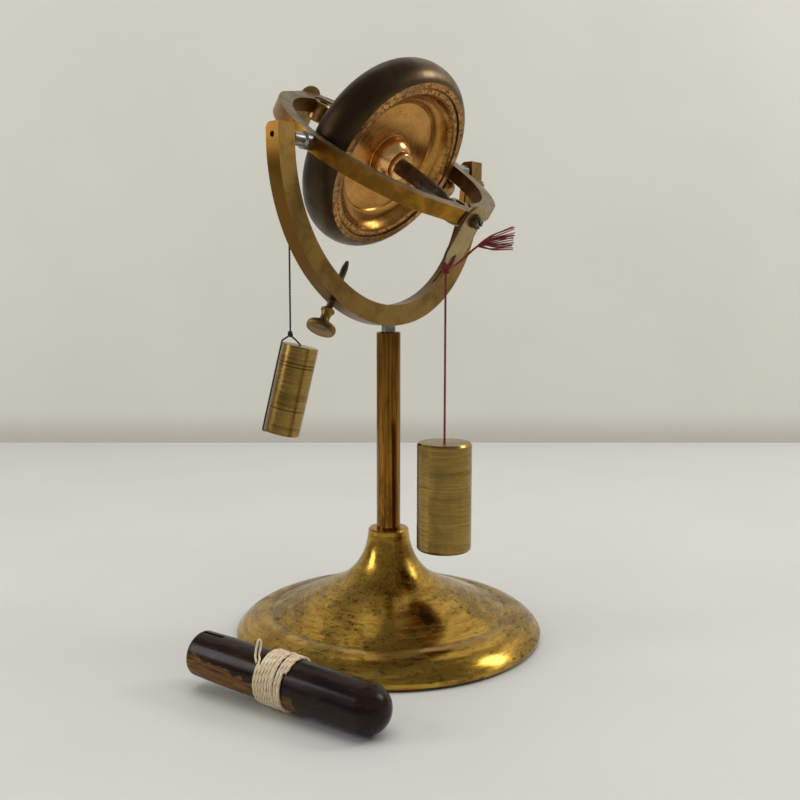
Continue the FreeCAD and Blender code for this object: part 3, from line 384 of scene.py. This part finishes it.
def steel(name, base, dark, rust, rough=(0.26, 0.45), rust_amount=0.0, centre=(0, 0, 0), direction=(0, 0, 1),
          thread_pitch=None, depth=0.015):
    """Turned steel: rings, smudges and rust specks, with a raised helix where the part is threaded."""
    n = Nodes(name)
    local = about_axis(n, centre, direction)
    angle, radius, along = n.axial(local)
    rings = n.noise(n.stretched(angle, radius, along, (2.0, 2500.0, 2500.0)), 1.0, 3.0, 0.65)
    cloud = n.noise(local, 240.0, 5.0, 0.65, 0.4)
    fine = n.noise(local, 1300.0, 4.0, 0.7)
    tone = n.colour(n.band(cloud, 0.38, 0.62), base, dark)
    spots = n.band(n.plus(n.times(cloud, 0.5), n.times(fine, 0.5)),
                   0.60 - 0.2 * rust_amount, 0.72 - 0.2 * rust_amount)
    tone = n.colour(n.times(spots, 0.8), tone, rust)
    shine = n.plus(n.band(cloud, 0.35, 0.7, rough[0], rough[1]), n.times(spots, 0.2))
    height = n.plus(n.times(rings, 0.5), n.times(fine, 0.5))
    if thread_pitch is not None:
        helix = n.plus(n.math("DIVIDE", along, thread_pitch), angle)
        ridge = n.math("PINGPONG", helix, 0.5)
        height = n.plus(n.times(ridge, 6.0), n.times(height, 0.3))
        # painted shade in the grooves of the thread
        tone = n.colour(n.band(ridge, 0.05, 0.4), tuple(c * 0.3 for c in dark), tone)
        depth = 0.09
    return n.finish(tone, shine, height, depth)


def milled_brass(name, base, dark, centre, direction, ridges=44):
    """Knob: turned faces with a finely ribbed edge."""
    n = Nodes(name)
    local = about_axis(n, centre, direction)
    angle, radius, along = n.axial(local)
    cloud = n.noise(local, 160.0, 5.0, 0.62, 0.4)
    rings = n.noise(n.stretched(angle, radius, along, (2.0, 2200.0, 1600.0)), 1.0, 3.0, 0.65)
    rib = n.math("PINGPONG", n.times(angle, float(ridges)), 0.5)
    edge = n.band(radius, 0.0049, 0.0052)
    tone = n.colour(n.band(cloud, 0.38, 0.64), base, dark)
    # painted shade in the grooves between the ribs of the edge
    tone = n.colour(n.times(n.times(edge, n.band(rib, 0.25, 0.05)), 0.7), tone,
                    tuple(c * 0.3 for c in dark))
    height = n.plus(n.times(n.times(rib, edge), 4.0), n.times(rings, 0.3))
    return n.finish(tone, n.band(cloud, 0.35, 0.7, 0.28, 0.42), height, 0.06)


# ---- wood and fibres ----
HANDLE_BUTT = Vector((-81.5, 21.5, 11.45)) * MM
HANDLE_NOSE = Vector((-76.4, -49.0, 8.45)) * MM
HANDLE_R = 8.2 * MM


def ebonised_wood():
    """Black-brown stained wood, waxed, rubbed through to brown on the low side of the butt."""
    n = Nodes("ebonised_wood_worn")
    along_axis = (HANDLE_NOSE - HANDLE_BUTT).normalized()
    local = about_axis(n, HANDLE_BUTT, along_axis)
    grain = n.noise(n.mapped(local, (1, 1, 0.07)), 1500.0, 5.0, 0.62, 0.3)
    broad = n.noise(n.mapped(local, (1, 1, 0.22)), 190.0, 5.0, 0.6, 0.6)
    ragged = n.noise(local, 150.0, 3.0, 0.5, 0.4)
    black = n.colour(n.band(broad, 0.36, 0.64), (0.008, 0.005, 0.004), (0.022, 0.010, 0.007))
    brown = n.colour(n.band(grain, 0.34, 0.66), (0.055, 0.021, 0.005), (0.22, 0.098, 0.023))
    split = n.add("ShaderNodeSeparateXYZ")
    n.feed(split.inputs[0], n.place)
    x, y, z = split.outputs
    # low on the side that faces -X, from the butt to the winding, with a tongue past the winding
    wobble = n.times(n.minus(ragged, 0.5), 0.007)
    slope = n.plus(n.times(n.minus(y, 0.010), 0.12), 0.0128)
    low = n.band(n.plus(z, wobble), n.plus(slope, 0.0004), n.minus(slope, 0.0004))
    near_butt = n.band(n.plus(y, wobble), -0.0270, -0.0262)
    outside = n.band(x, -0.0790, -0.0806)
    worn = n.times(n.times(low, near_butt), outside)
    tone = n.colour(worn, black, brown)
    tone = n.colour(n.times(n.band(n.noise(n.mapped(local, (1, 1, 0.3)), 700.0, 3.0), 0.62, 0.7), 0.5),
                    tone, (0.05, 0.024, 0.012))
    shine = n.plus(n.band(worn, 0.0, 1.0, 0.20, 0.42), n.band(broad, 0.35, 0.7, 0.0, 0.12))
    height = n.plus(n.times(grain, 0.7), n.times(broad, 0.3))
    return n.finish(tone, shine, height, 0.03, metallic=0.0,
                    **{"Specular IOR Level": 0.14, "Coat Weight": 0.06, "Coat Roughness": 0.12})


def fibre(name, base, dark, bright, roughness=0.8, sheen=0.05, scale=2600.0, depth=0.12):
    """Spun thread: fine streaky fibres in three tones, matt, with a soft sheen."""
    n = Nodes(name)
    streak = n.noise(n.mapped(n.place, (1, 1, 0.3), (0.5, 0.3, 0.7)), scale, 4.0, 0.7)
    blotch = n.noise(n.place, scale / 9, 4.0, 0.6)
    tone = n.colour(n.band(streak, 0.36, 0.62), dark, base)
    tone = n.colour(n.times(n.band(blotch, 0.48, 0.66), 0.7), tone, bright)
    return n.finish(tone, n.band(streak, 0.3, 0.7, roughness - 0.08, roughness + 0.08), streak, depth,
                    metallic=0.0, **{"Sheen Weight": sheen, "Sheen Roughness": 0.5})


# ---- curves ----
def nurbs(name, points, diameter, material, body, resolution=8, radii=None):
    """A round cord along one smooth spline whose control points are the route's."""
    curve = bpy.data.curves.new(name, "CURVE")
    curve.dimensions = "3D"
    curve.bevel_depth = diameter / 2
    curve.bevel_resolution = 3
    curve.resolution_u = resolution
    curve.use_fill_caps = True
    add_spline(curve, points, radii)
    piece = bpy.data.objects.new(name, curve)
    bpy.context.collection.objects.link(piece)
    curve.materials.append(material)
    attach(piece, body)
    return piece


def add_spline(curve, points, radii=None):
    spline = curve.splines.new("NURBS")
    spline.points.add(len(points) - 1)
    for index, (control, place) in enumerate(zip(spline.points, points)):
        control.co = (*place, 1.0)
        control.radius = radii[index] if radii else 1.0
    spline.order_u = 3
    spline.use_endpoint_u = True


def centreline(piece):
    """Points along a curve piece's own spline."""
    bare = bpy.data.objects.new("bare", piece.data.copy())
    bare.data.bevel_depth = 0
    mesh = bpy.data.meshes.new_from_object(bare)
    points = [vertex.co.copy() for vertex in mesh.vertices]
    bpy.data.meshes.remove(mesh)
    bpy.data.curves.remove(bare.data)
    return points


def frames_along(points):
    """For each point of a line: the point and two unit vectors across it that don't twist."""
    across = None
    out = []
    for index, place in enumerate(points):
        ahead = points[min(index + 1, len(points) - 1)] - points[max(index - 1, 0)]
        ahead.normalize()
        if across is None:
            across = ahead.orthogonal().normalized()
        across = (across - ahead * across.dot(ahead)).normalized()
        out.append((place, across, ahead.cross(across)))
    return out


def resampled(points, step):
    """Points evenly spaced along a line, and its end."""
    out = [points[0]]
    carry = 0.0
    for a, b in zip(points, points[1:]):
        span = (b - a).length
        while carry + span >= step:
            t = (step - carry) / span
            a = a.lerp(b, t)
            out.append(a)
            span = (b - a).length
            carry = 0.0
        carry += span
    out[-1] = points[-1]
    return out


# by number of strands: each strand's radius and its distance from the line, in radii of the whole thread
STRAND_SHARES = {2: (0.84, 0.31), 3: (0.60, 0.40)}


def strand_mesh(name, lines, diameter, pitch, strands, material, body, thinner=None):
    """Twisted strands as one mesh round each of the lines."""
    strand_r, offset = (share * diameter / 2 for share in STRAND_SHARES[strands])
    sides = 7
    mesh = bmesh.new()
    for line in lines:
        placed = frames_along(line)
        runs = [0.0]
        for before, after in zip(line, line[1:]):
            runs.append(runs[-1] + (after - before).length)
        for strand in range(strands):
            rings = []
            for (place, u, v), run in zip(placed, runs):
                size = thinner(run / runs[-1]) if thinner else 1.0
                turn = 2 * math.pi * (run / pitch + strand / strands)
                centre = place + (u * math.cos(turn) + v * math.sin(turn)) * offset * size
                angles = [2 * math.pi * side / sides for side in range(sides)]
                rings.append([mesh.verts.new(centre + (u * math.cos(a) + v * math.sin(a)) * strand_r * size)
                              for a in angles])
            for first, second in zip(rings, rings[1:]):
                for side in range(sides):
                    following = (side + 1) % sides
                    mesh.faces.new((first[side], first[following], second[following], second[side]))
            mesh.faces.new(list(reversed(rings[0])))
            mesh.faces.new(rings[-1])
    data = bpy.data.meshes.new(name)
    mesh.to_mesh(data)
    mesh.free()
    data.polygons.foreach_set("use_smooth", [True] * len(data.polygons))
    piece = bpy.data.objects.new(name, data)
    bpy.context.collection.objects.link(piece)
    data.materials.append(material)
    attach(piece, body)
    return piece


def laid_thread(name, piece, diameter, pitch, strands, material, body, thinner=None):
    """A thread laid from strands along a cord's own line; the line's points are returned for its path."""
    line = resampled(centreline(piece), min(pitch / 6, diameter / 2))
    bpy.data.objects.remove(piece)
    return strand_mesh(name, [line], diameter, pitch, strands, material, body, thinner), line


def wrapped_knot(name, centre, radius, height, thread_d, turns, material, body, lean=0.0):
    """A small knot: tight turns one over another, closed by a slanting turn that crosses them."""
    rng = random.Random(len(name) * 7 + turns)
    seat = radius - thread_d / 2
    wraps = []
    steps = 14 * turns
    for k in range(steps + 1):
        t = k / steps
        angle = 2 * math.pi * turns * t
        swell = math.sin(math.pi * min(max(t, 0.06), 0.94)) ** 0.4
        r = seat * swell * (1 + 0.06 * rng.uniform(-1, 1))
        rise = height * (0.5 - t) * 0.86 + lean * r * math.cos(angle)
        wraps.append(centre + Vector((r * math.cos(angle), r * math.sin(angle), rise)))
    slant = []
    for k in range(17):
        angle = 2 * math.pi * k / 18
        slant.append(centre + Vector((radius * 0.95 * math.cos(angle), radius * 0.95 * math.sin(angle),
                                      height * 0.42 * math.sin(angle + 0.7))))
    return strand_mesh(name, [wraps, slant], thread_d, 5 * thread_d, 2, material, body)


# ---- materials on the CAD parts ----
def dress(node, material):
    """Puts a material on a CAD part in place of its own."""
    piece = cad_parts[node]
    piece.data.materials.clear()
    piece.data.materials.append(material)


CLAMP_ANGLE = math.radians(32.3)
CLAMP_DIRECTION = Vector((-math.sin(CLAMP_ANGLE), 0, -math.cos(CLAMP_ANGLE)))
ARC_CENTRE = Vector((0, 0, 188.0)) * MM
HEAVY_AXIS = Vector((NEAR_KNOT.x, NEAR_KNOT.y, 0))
LIGHT_CENTRE = Vector((FAR_KNOT.x, FAR_KNOT.y, 95.6 * MM))
LIGHT_LEAN = Matrix.Rotation(math.radians(13.0), 3, Vector((0.8, 0.6, 0)))
SLING_SIDE = Vector((-0.6, 0.8, 0))

bright_steel = steel("bright_steel_turned", (0.33, 0.32, 0.30), (0.18, 0.165, 0.15), (0.14, 0.085, 0.05),
                     (0.3, 0.42), 0.1, RING_CENTRE, (1, 0, 0), depth=0.003)
dark_screw = steel("screw_steel_dark", (0.16, 0.13, 0.10), (0.06, 0.048, 0.04), (0.12, 0.06, 0.03),
                   (0.34, 0.5), 0.3, RING_CENTRE, AXLE_DIRECTION)
disc_metal = rotor_disc_metal()
bush_metal = turned_brass("bush_brass_worn", (0.20, 0.110, 0.032), (0.07, 0.040, 0.016), (0.31, 0.18, 0.052),
                          RING_CENTRE, AXLE_DIRECTION, (0.32, 0.5), stain_scale=200.0)
plate_metal = satin_brass("plate_brass_pale", (0.37, 0.27, 0.115), (0.30, 0.19, 0.055), (0.23, 0.17, 0.07),
                          tuple(AXLE_DIRECTION), 0.34, 0.42, 1.6)

PART_MATERIALS = {
    "foot": foot_brass(),
    "stem": stem_brass(),
    "foot_washer": turned_brass("washer_brass_dull", (0.34, 0.22, 0.07), (0.12, 0.08, 0.03),
                                (0.45, 0.3, 0.1)),
    "foot_nut": steel("nut_steel_dull", (0.30, 0.28, 0.25), (0.14, 0.12, 0.1), (0.16, 0.08, 0.04),
                      (0.35, 0.55), 0.4),
    "fork": satin_brass("fork_brass_satin", (0.35, 0.212, 0.056), (0.145, 0.068, 0.010),
                        (0.15, 0.085, 0.020)),
    "fork_pivot": steel("pivot_steel", (0.42, 0.42, 0.40), (0.2, 0.19, 0.17), (0.15, 0.09, 0.05),
                        (0.24, 0.4), 0.2),
    "keeper_screw": steel("keeper_steel", (0.34, 0.31, 0.27), (0.15, 0.12, 0.1), (0.2, 0.1, 0.05),
                          (0.3, 0.45), 0.2, (0.064, -0.0012, 0.184), (1, 0, 0)),
    "clamp_screw_shank": steel("clamp_screw_steel", (0.26, 0.18, 0.10), (0.11, 0.078, 0.05),
                               (0.13, 0.07, 0.03), (0.32, 0.48), 0.3, ARC_CENTRE, CLAMP_DIRECTION, 0.00062),
    "clamp_screw_knob": milled_brass("clamp_knob_brass", (0.27, 0.160, 0.042), (0.11, 0.064, 0.020),
                                     ARC_CENTRE, CLAMP_DIRECTION),
    "gimbal_ring": ring_brass(),
    "left_trunnion": bright_steel,
    "right_trunnion": bright_steel,
    "trim_knob": turned_brass("trim_knob_brass", (0.30, 0.15, 0.05), (0.10, 0.05, 0.02), (0.42, 0.23, 0.08),
                              ring_point(42.8 * MM, -3.8 * MM, 0), RING_NORMAL, stain_scale=180.0),
    "rotor_rim": rotor_rim_metal(),
    "rotor_disc": disc_metal,
    "near_hub_collar": disc_metal,
    "far_hub_collar": disc_metal,
    "rotor_shaft": steel("shaft_steel_rusty", (0.20, 0.155, 0.12), (0.085, 0.062, 0.05), (0.17, 0.08, 0.035),
                         (0.30, 0.48), 0.5, RING_CENTRE, AXLE_DIRECTION),
    "near_bearing_bush": bush_metal,
    "far_bearing_bush": bush_metal,
    "near_pivot_screw": dark_screw,
    "far_pivot_screw": dark_screw,
    "near_hanger_plate": plate_metal,
    "far_hanger_plate": plate_metal,
    "heavy_weight": weight_brass("heavy_weight_brass", HEAVY_AXIS, (0, 0, 1)),
    "light_weight": weight_brass("light_weight_brass", LIGHT_CENTRE, LIGHT_LEAN @ Vector((0, 0, 1)),
                                 (0.0118, 0.0104, -0.0082)),
    "starting_handle": ebonised_wood(),
}
for part, look in PART_MATERIALS.items():
    dress(part, look)

red = fibre("red_thread_waxed", (0.26, 0.018, 0.014), (0.11, 0.008, 0.007), (0.38, 0.040, 0.028), 0.7)
# a darker, shaded copy of the red thread for the leg, which hangs in shade: painted shade
leg_red_shaded = fibre("red_thread_shaded", (0.10, 0.022, 0.014), (0.04, 0.010, 0.008), (0.18, 0.05, 0.03), 0.7)
black = fibre("black_thread_waxed", (0.030, 0.020, 0.016), (0.010, 0.007, 0.006), (0.060, 0.040, 0.030), 0.6)
hemp = fibre("hemp_twine_beige", (0.82, 0.68, 0.47), (0.60, 0.465, 0.30), (0.88, 0.78, 0.60), 0.85, 0.25,
             1900.0, 0.15)


# ---- camera ----
heading = Vector((math.sin(CAMERA_HEADING), math.cos(CAMERA_HEADING), 0))
camera_data = bpy.data.cameras.new("camera")
camera_data.lens = CAMERA_LENS
camera_data.shift_x = CAMERA_SHIFT
camera_data.clip_start = 0.01
camera = bpy.data.objects.new("camera", camera_data)
camera.location = CAMERA_PLACE
sight = heading * math.cos(CAMERA_PITCH) + Vector((0, 0, math.sin(CAMERA_PITCH)))
camera.rotation_euler = sight.to_track_quat("-Z", "Y").to_euler()
bpy.context.collection.objects.link(camera)
bpy.context.scene.camera = camera


# ---- threads ----
HEAVY_CEILING = 49.0 * MM
red_line = nurbs("red_line", [NEAR_KNOT, NEAR_KNOT - Vector((0, 0, 0.033)), NEAR_KNOT - Vector((0, 0, 0.066)),
                              Vector((NEAR_KNOT.x, NEAR_KNOT.y, HEAVY_CEILING))],
                 RED_THREAD_D, red, "heavy_hanging_weight")
red_thread, red_path = laid_thread("red_thread_laid", red_line, RED_THREAD_D, 2.0 * MM, 2, red,
                                   "heavy_hanging_weight")
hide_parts("red_thread")
dress("heavy_stop_knot", red)

SLING_APEX = Vector((FAR_KNOT.x, FAR_KNOT.y, 119.0 * MM))
black_line = nurbs("black_line", [FAR_KNOT, FAR_KNOT.lerp(SLING_APEX, 0.34), FAR_KNOT.lerp(SLING_APEX, 0.67),
                                  SLING_APEX], BLACK_THREAD_D, black, "light_hanging_weight")
black_thread, black_path = laid_thread("black_thread_laid", black_line, BLACK_THREAD_D, 2.4 * MM, 2, black,
                                       "light_hanging_weight")
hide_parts("black_thread")

SLING_CORNER = 1.2 * MM                    # how far from the weight's ends the sling starts to bend
# the sling goes over the rim, down the flank, under the weight and up through its bore
sling_end = LIGHT_WEIGHT_HALF + BLACK_THREAD_D / 2 + CLEARANCE
sling_out = SLING_SIDE * (LIGHT_WEIGHT_R + BLACK_THREAD_D / 2 + CLEARANCE)
bend_at = sling_end - SLING_CORNER
sling_route = [sling_out + UP * bend_at, sling_out, sling_out - UP * bend_at, sling_out - UP * sling_end,
               sling_out * 0.86 - UP * sling_end, sling_out * 0.16 - UP * sling_end, -UP * sling_end,
               -UP * bend_at, UP * bend_at, UP * sling_end]
sling_places = [LIGHT_CENTRE + LIGHT_LEAN @ place for place in sling_route]
rim_place = LIGHT_CENTRE + LIGHT_LEAN @ (sling_out + UP * sling_end)
sling_places = [SLING_APEX, SLING_APEX.lerp(rim_place, 0.8), rim_place] + sling_places + [SLING_APEX]
sling = nurbs("black_sling_loop", sling_places, BLACK_THREAD_D, black, "light_hanging_weight")
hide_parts("black_sling")

sling_knot = wrapped_knot("sling_knot_wraps", SLING_APEX + UP * 0.4 * MM, 0.95 * MM, 2.6 * MM, 0.6 * MM, 3,
                          black, "light_hanging_weight")
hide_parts("sling_knot")
far_knot = wrapped_knot("far_knot_wraps", FAR_KNOT, 1.15 * MM, 2.2 * MM, 0.7 * MM, 3, black, "ring")
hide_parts("far_knot")
near_knot = wrapped_knot("red_knot_wraps", NEAR_KNOT, 1.35 * MM, 3.0 * MM, 0.84 * MM, 3, red, "ring", 0.2)
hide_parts("red_knot")
for loop, look in (("red_loop", red), ("black_loop", black)):
    dress(loop, look)

LEG_ROUTE = ((-5.4, -46.9, 2.6), (-6.35, -47.0, 0.4), (-6.35, -47.3, -6.5), (-6.35, -47.3, -13.4),
             (-4.6, -47.3, -18.2), (-1.2, -47.3, -20.9))
leg_places = [ring_point(*(c * MM for c in place)) for place in LEG_ROUTE]
# the leg wears the shaded copy of the red: painted shade
leg = nurbs("red_leg_line", leg_places, LEG_D, leg_red_shaded, "ring")
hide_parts("red_leg")

TAIL_ROUTE = ((0.0, 0.0, 0.0), (3.4, -0.4, 0.8), (8.0, -1.9, 3.6), (12.6, -4.2, 8.0), (16.4, -7.0, 11.2),
              (19.8, -10.6, 11.8), (23.6, -15.2, 12.2))
TASSEL_ROOT = 4                            # the place on the tail where its plies part
PLY_COUNT = 13
tail_places = [NEAR_KNOT + Vector(place) * MM for place in TAIL_ROUTE]
tail_sizes = [1.0, 1.0, 1.0, 1.0, 0.9, 0.55, 0.45]
tail = nurbs("red_tail_line", tail_places, RED_THREAD_D, red, "ring", radii=tail_sizes)


def frayed_end():
    """Loose plies that fan out from the tail, each with its own bend and length."""
    rng = random.Random(11)
    root = tail_places[TASSEL_ROOT]
    upper = NEAR_KNOT + Vector((23.6, -15.6, 16.8)) * MM
    lower = NEAR_KNOT + Vector((23.8, -15.2, 7.8)) * MM
    back = (tail_places[TASSEL_ROOT - 1] - root).normalized()
    curve = bpy.data.curves.new("red_frayed_plies", "CURVE")
    curve.dimensions = "3D"
    curve.bevel_depth = PLY_R
    curve.bevel_resolution = 2
    curve.resolution_u = 6
    curve.use_fill_caps = True
    for k in range(PLY_COUNT):
        t = k / (PLY_COUNT - 1)
        scatter = Vector((rng.uniform(-0.6, 0.6), rng.uniform(-0.5, 0.9), rng.uniform(-0.3, 0.3))) * MM
        end = lower.lerp(upper, t) + scatter
        belly = Vector((0, 0, (0.5 - t) * -2.4)) * MM
        start = root + back * rng.uniform(1.6, 4.0) * MM + Vector((0, 0, (t - 0.5) * 0.5)) * MM
        bent = start.lerp(end, 0.62) + belly * rng.uniform(0.2, 1.1)
        route = [start, start.lerp(end, 0.30) + belly, bent, end]
        size = rng.uniform(0.75, 1.15)
        add_spline(curve, route, [size, size, size * 0.9, size * 0.7])
    piece = bpy.data.objects.new("red_frayed_plies", curve)
    bpy.context.collection.objects.link(piece)
    curve.materials.append(red)
    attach(piece, "ring")
    return piece


plies = frayed_end()
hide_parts("red_tail")
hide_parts("red_tassel")


# ---- twine on the handle ----
WINDING_FROM = 31.4 * MM
WINDING_TO = 44.0 * MM
TWINE_TURNS = 9
BIGHT_SHARE = 0.034                        # of the twine's length, where one ply stands up alone
FIRST_TURN = 0.13                          # where round the handle the winding starts
CROSSING_TURN = 6.08                       # the turn that rides over the ones before it, on top
handle_along = (HANDLE_NOSE - HANDLE_BUTT).normalized()
handle_side = handle_along.cross(UP).normalized()
handle_up = handle_side.cross(handle_along)


def on_handle(distance, radius, turn):
    """A place round the handle: turn is in turns from the top, towards -X."""
    angle = 2 * math.pi * turn
    outward = handle_up * math.cos(angle) + handle_side * math.sin(angle)
    return HANDLE_BUTT + handle_along * distance + outward * radius


BIGHT_ROUTE = ((-85.4, -10.3, 16.5), (-84.7, -8.9, 17.9), (-83.2, -8.1, 20.2), (-81.8, -7.6, 22.9),
               (-80.6, -8.0, 22.1), (-81.6, -8.5, 20.2), (-83.3, -9.3, 18.0), (-84.0, -10.5, 17.2))


def twine_route():
    """The bight that stands up, then the turns, close but not quite even, one of them crossing on top."""
    rng = random.Random(5)
    places = [Vector(place) * MM for place in BIGHT_ROUTE]
    sizes = [0.66] * len(places)
    steps = 16
    seat = HANDLE_R + TWINE_D / 2
    span = WINDING_TO - WINDING_FROM - TWINE_D - 0.2 * MM
    wander = [rng.uniform(-0.09, 0.09) for _ in range(TWINE_TURNS + 2)]
    for k in range(TWINE_TURNS * steps + 1):
        t = k / steps
        blend = t - math.floor(t)
        drift = wander[int(t)] * (1 - blend) + wander[int(t) + 1] * blend
        distance = WINDING_FROM + TWINE_D / 2 + 0.1 * MM + span * (t / TWINE_TURNS) + drift * MM
        turn = FIRST_TURN + t
        past = turn - CROSSING_TURN
        over = max(0.0, math.cos(2 * math.pi * past)) ** 2 if abs(past) < 0.5 else 0.0
        places.append(on_handle(distance - over * 0.2 * MM, seat + over * 0.6 * MM, turn))
        sizes.append(1.0)
    return places, sizes


twine_places, twine_sizes = twine_route()
twine_line = nurbs("twine_line", twine_places, TWINE_D, hemp, "handle", radii=twine_sizes)
twine_length = sum((b - a).length for a, b in zip(centreline(twine_line), centreline(twine_line)[1:]))
twine, twine_path = laid_thread("twine_laid", twine_line, TWINE_D, 8.5 * MM, 3, hemp, "handle",
                                lambda t: 0.66 if t < BIGHT_SHARE else 1.0)
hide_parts("twine_winding", "twine_tail")


# ---- table, wall and light ----
def plain(name, tone, speckle, painted_foot_shade=None):
    """A matt, nearly even surface; painted_foot_shade is the darker tone of a band of painted shade along its
    foot.
    """
    n = Nodes(name)
    cloud = n.noise(n.place, 9.0, 4.0, 0.5)
    fine = n.noise(n.place, 900.0, 3.0, 0.6)
    mixed = n.colour(n.band(cloud, 0.35, 0.65), tone, tuple(c * 0.975 for c in tone))
    if painted_foot_shade:
        split = n.add("ShaderNodeSeparateXYZ")
        n.feed(split.inputs[0], n.place)
        # painted shade: a darker band that fades out 32 mm above the surface's foot
        mixed = n.colour(n.band(split.outputs[2], 0.032, 0.002), mixed, painted_foot_shade)
    return n.finish(mixed, n.band(fine, 0.3, 0.7, 0.46, 0.54), fine, speckle, metallic=0.0)


def sheet(name, corners, material):
    """A flat rectangle of the stage."""
    data = bpy.data.meshes.new(name)
    data.from_pydata(corners, [], [(0, 1, 2, 3)])
    piece = bpy.data.objects.new(name, data)
    bpy.context.collection.objects.link(piece)
    data.materials.append(material)
    return piece


across = Vector((heading.y, -heading.x, 0))
wall_foot = heading * WALL_DISTANCE
HALF_WIDTH = 2.4
TABLE_DEPTH = 2.6
WALL_HEIGHT = 1.8
left_foot = wall_foot - across * HALF_WIDTH
right_foot = wall_foot + across * HALF_WIDTH
table_corners = [left_foot, right_foot, right_foot - heading * TABLE_DEPTH, left_foot - heading * TABLE_DEPTH]
wall_corners = [left_foot, right_foot, right_foot + UP * WALL_HEIGHT, left_foot + UP * WALL_HEIGHT]
sheet("table", [tuple(c) for c in table_corners], plain("table_white", (0.64, 0.645, 0.62), 0.02))
# the wall's third tone is painted shade along its foot, where it meets the table
sheet("wall", [tuple(c) for c in wall_corners],
      plain("wall_pale", (0.80, 0.785, 0.72), 0.02, (0.62, 0.585, 0.535)))


def area_light(name, place, target, size, power, tone, glossy=True):
    """A soft rectangular lamp aimed at the target; glossy says whether reflections show it."""
    data = bpy.data.lights.new(name, "AREA")
    data.shape = "RECTANGLE"
    data.size, data.size_y = size
    data.energy = power
    data.color = tone
    lamp = bpy.data.objects.new(name, data)
    lamp.location = place
    lamp.visible_glossy = glossy
    lamp.rotation_euler = (Vector(target) - Vector(place)).to_track_quat("-Z", "Y").to_euler()
    bpy.context.collection.objects.link(lamp)


def seen_from_camera(right, ahead, up):
    """A place given to the right of the stem, beyond it and up, as the camera sees it."""
    return across * right + heading * ahead + UP * up


WINDOW_TONE = (1.0, 0.98, 0.95)
area_light("left_window", seen_from_camera(-0.9, -0.2, 0.5), (0, 0, 0.08), (0.28, 0.5), 2.6, WINDOW_TONE)
area_light("right_window", seen_from_camera(0.85, 0.12, 0.68), (0, 0, 0.05), (0.24, 0.34), 2.7, WINDOW_TONE)
area_light("sky", seen_from_camera(0.1, 0.0, 1.3), (0, 0, 0.0), (1.4, 1.4), 12.5, (1.0, 0.99, 0.98),
           glossy=False)

world = bpy.data.worlds.new("soft")
world.use_nodes = True
background = world.node_tree.nodes["Background"]
background.inputs["Color"].default_value = (0.90, 0.88, 0.84, 1.0)
background.inputs["Strength"].default_value = 0.27
bpy.context.scene.world = world
bpy.context.scene.view_settings.view_transform = "Standard"
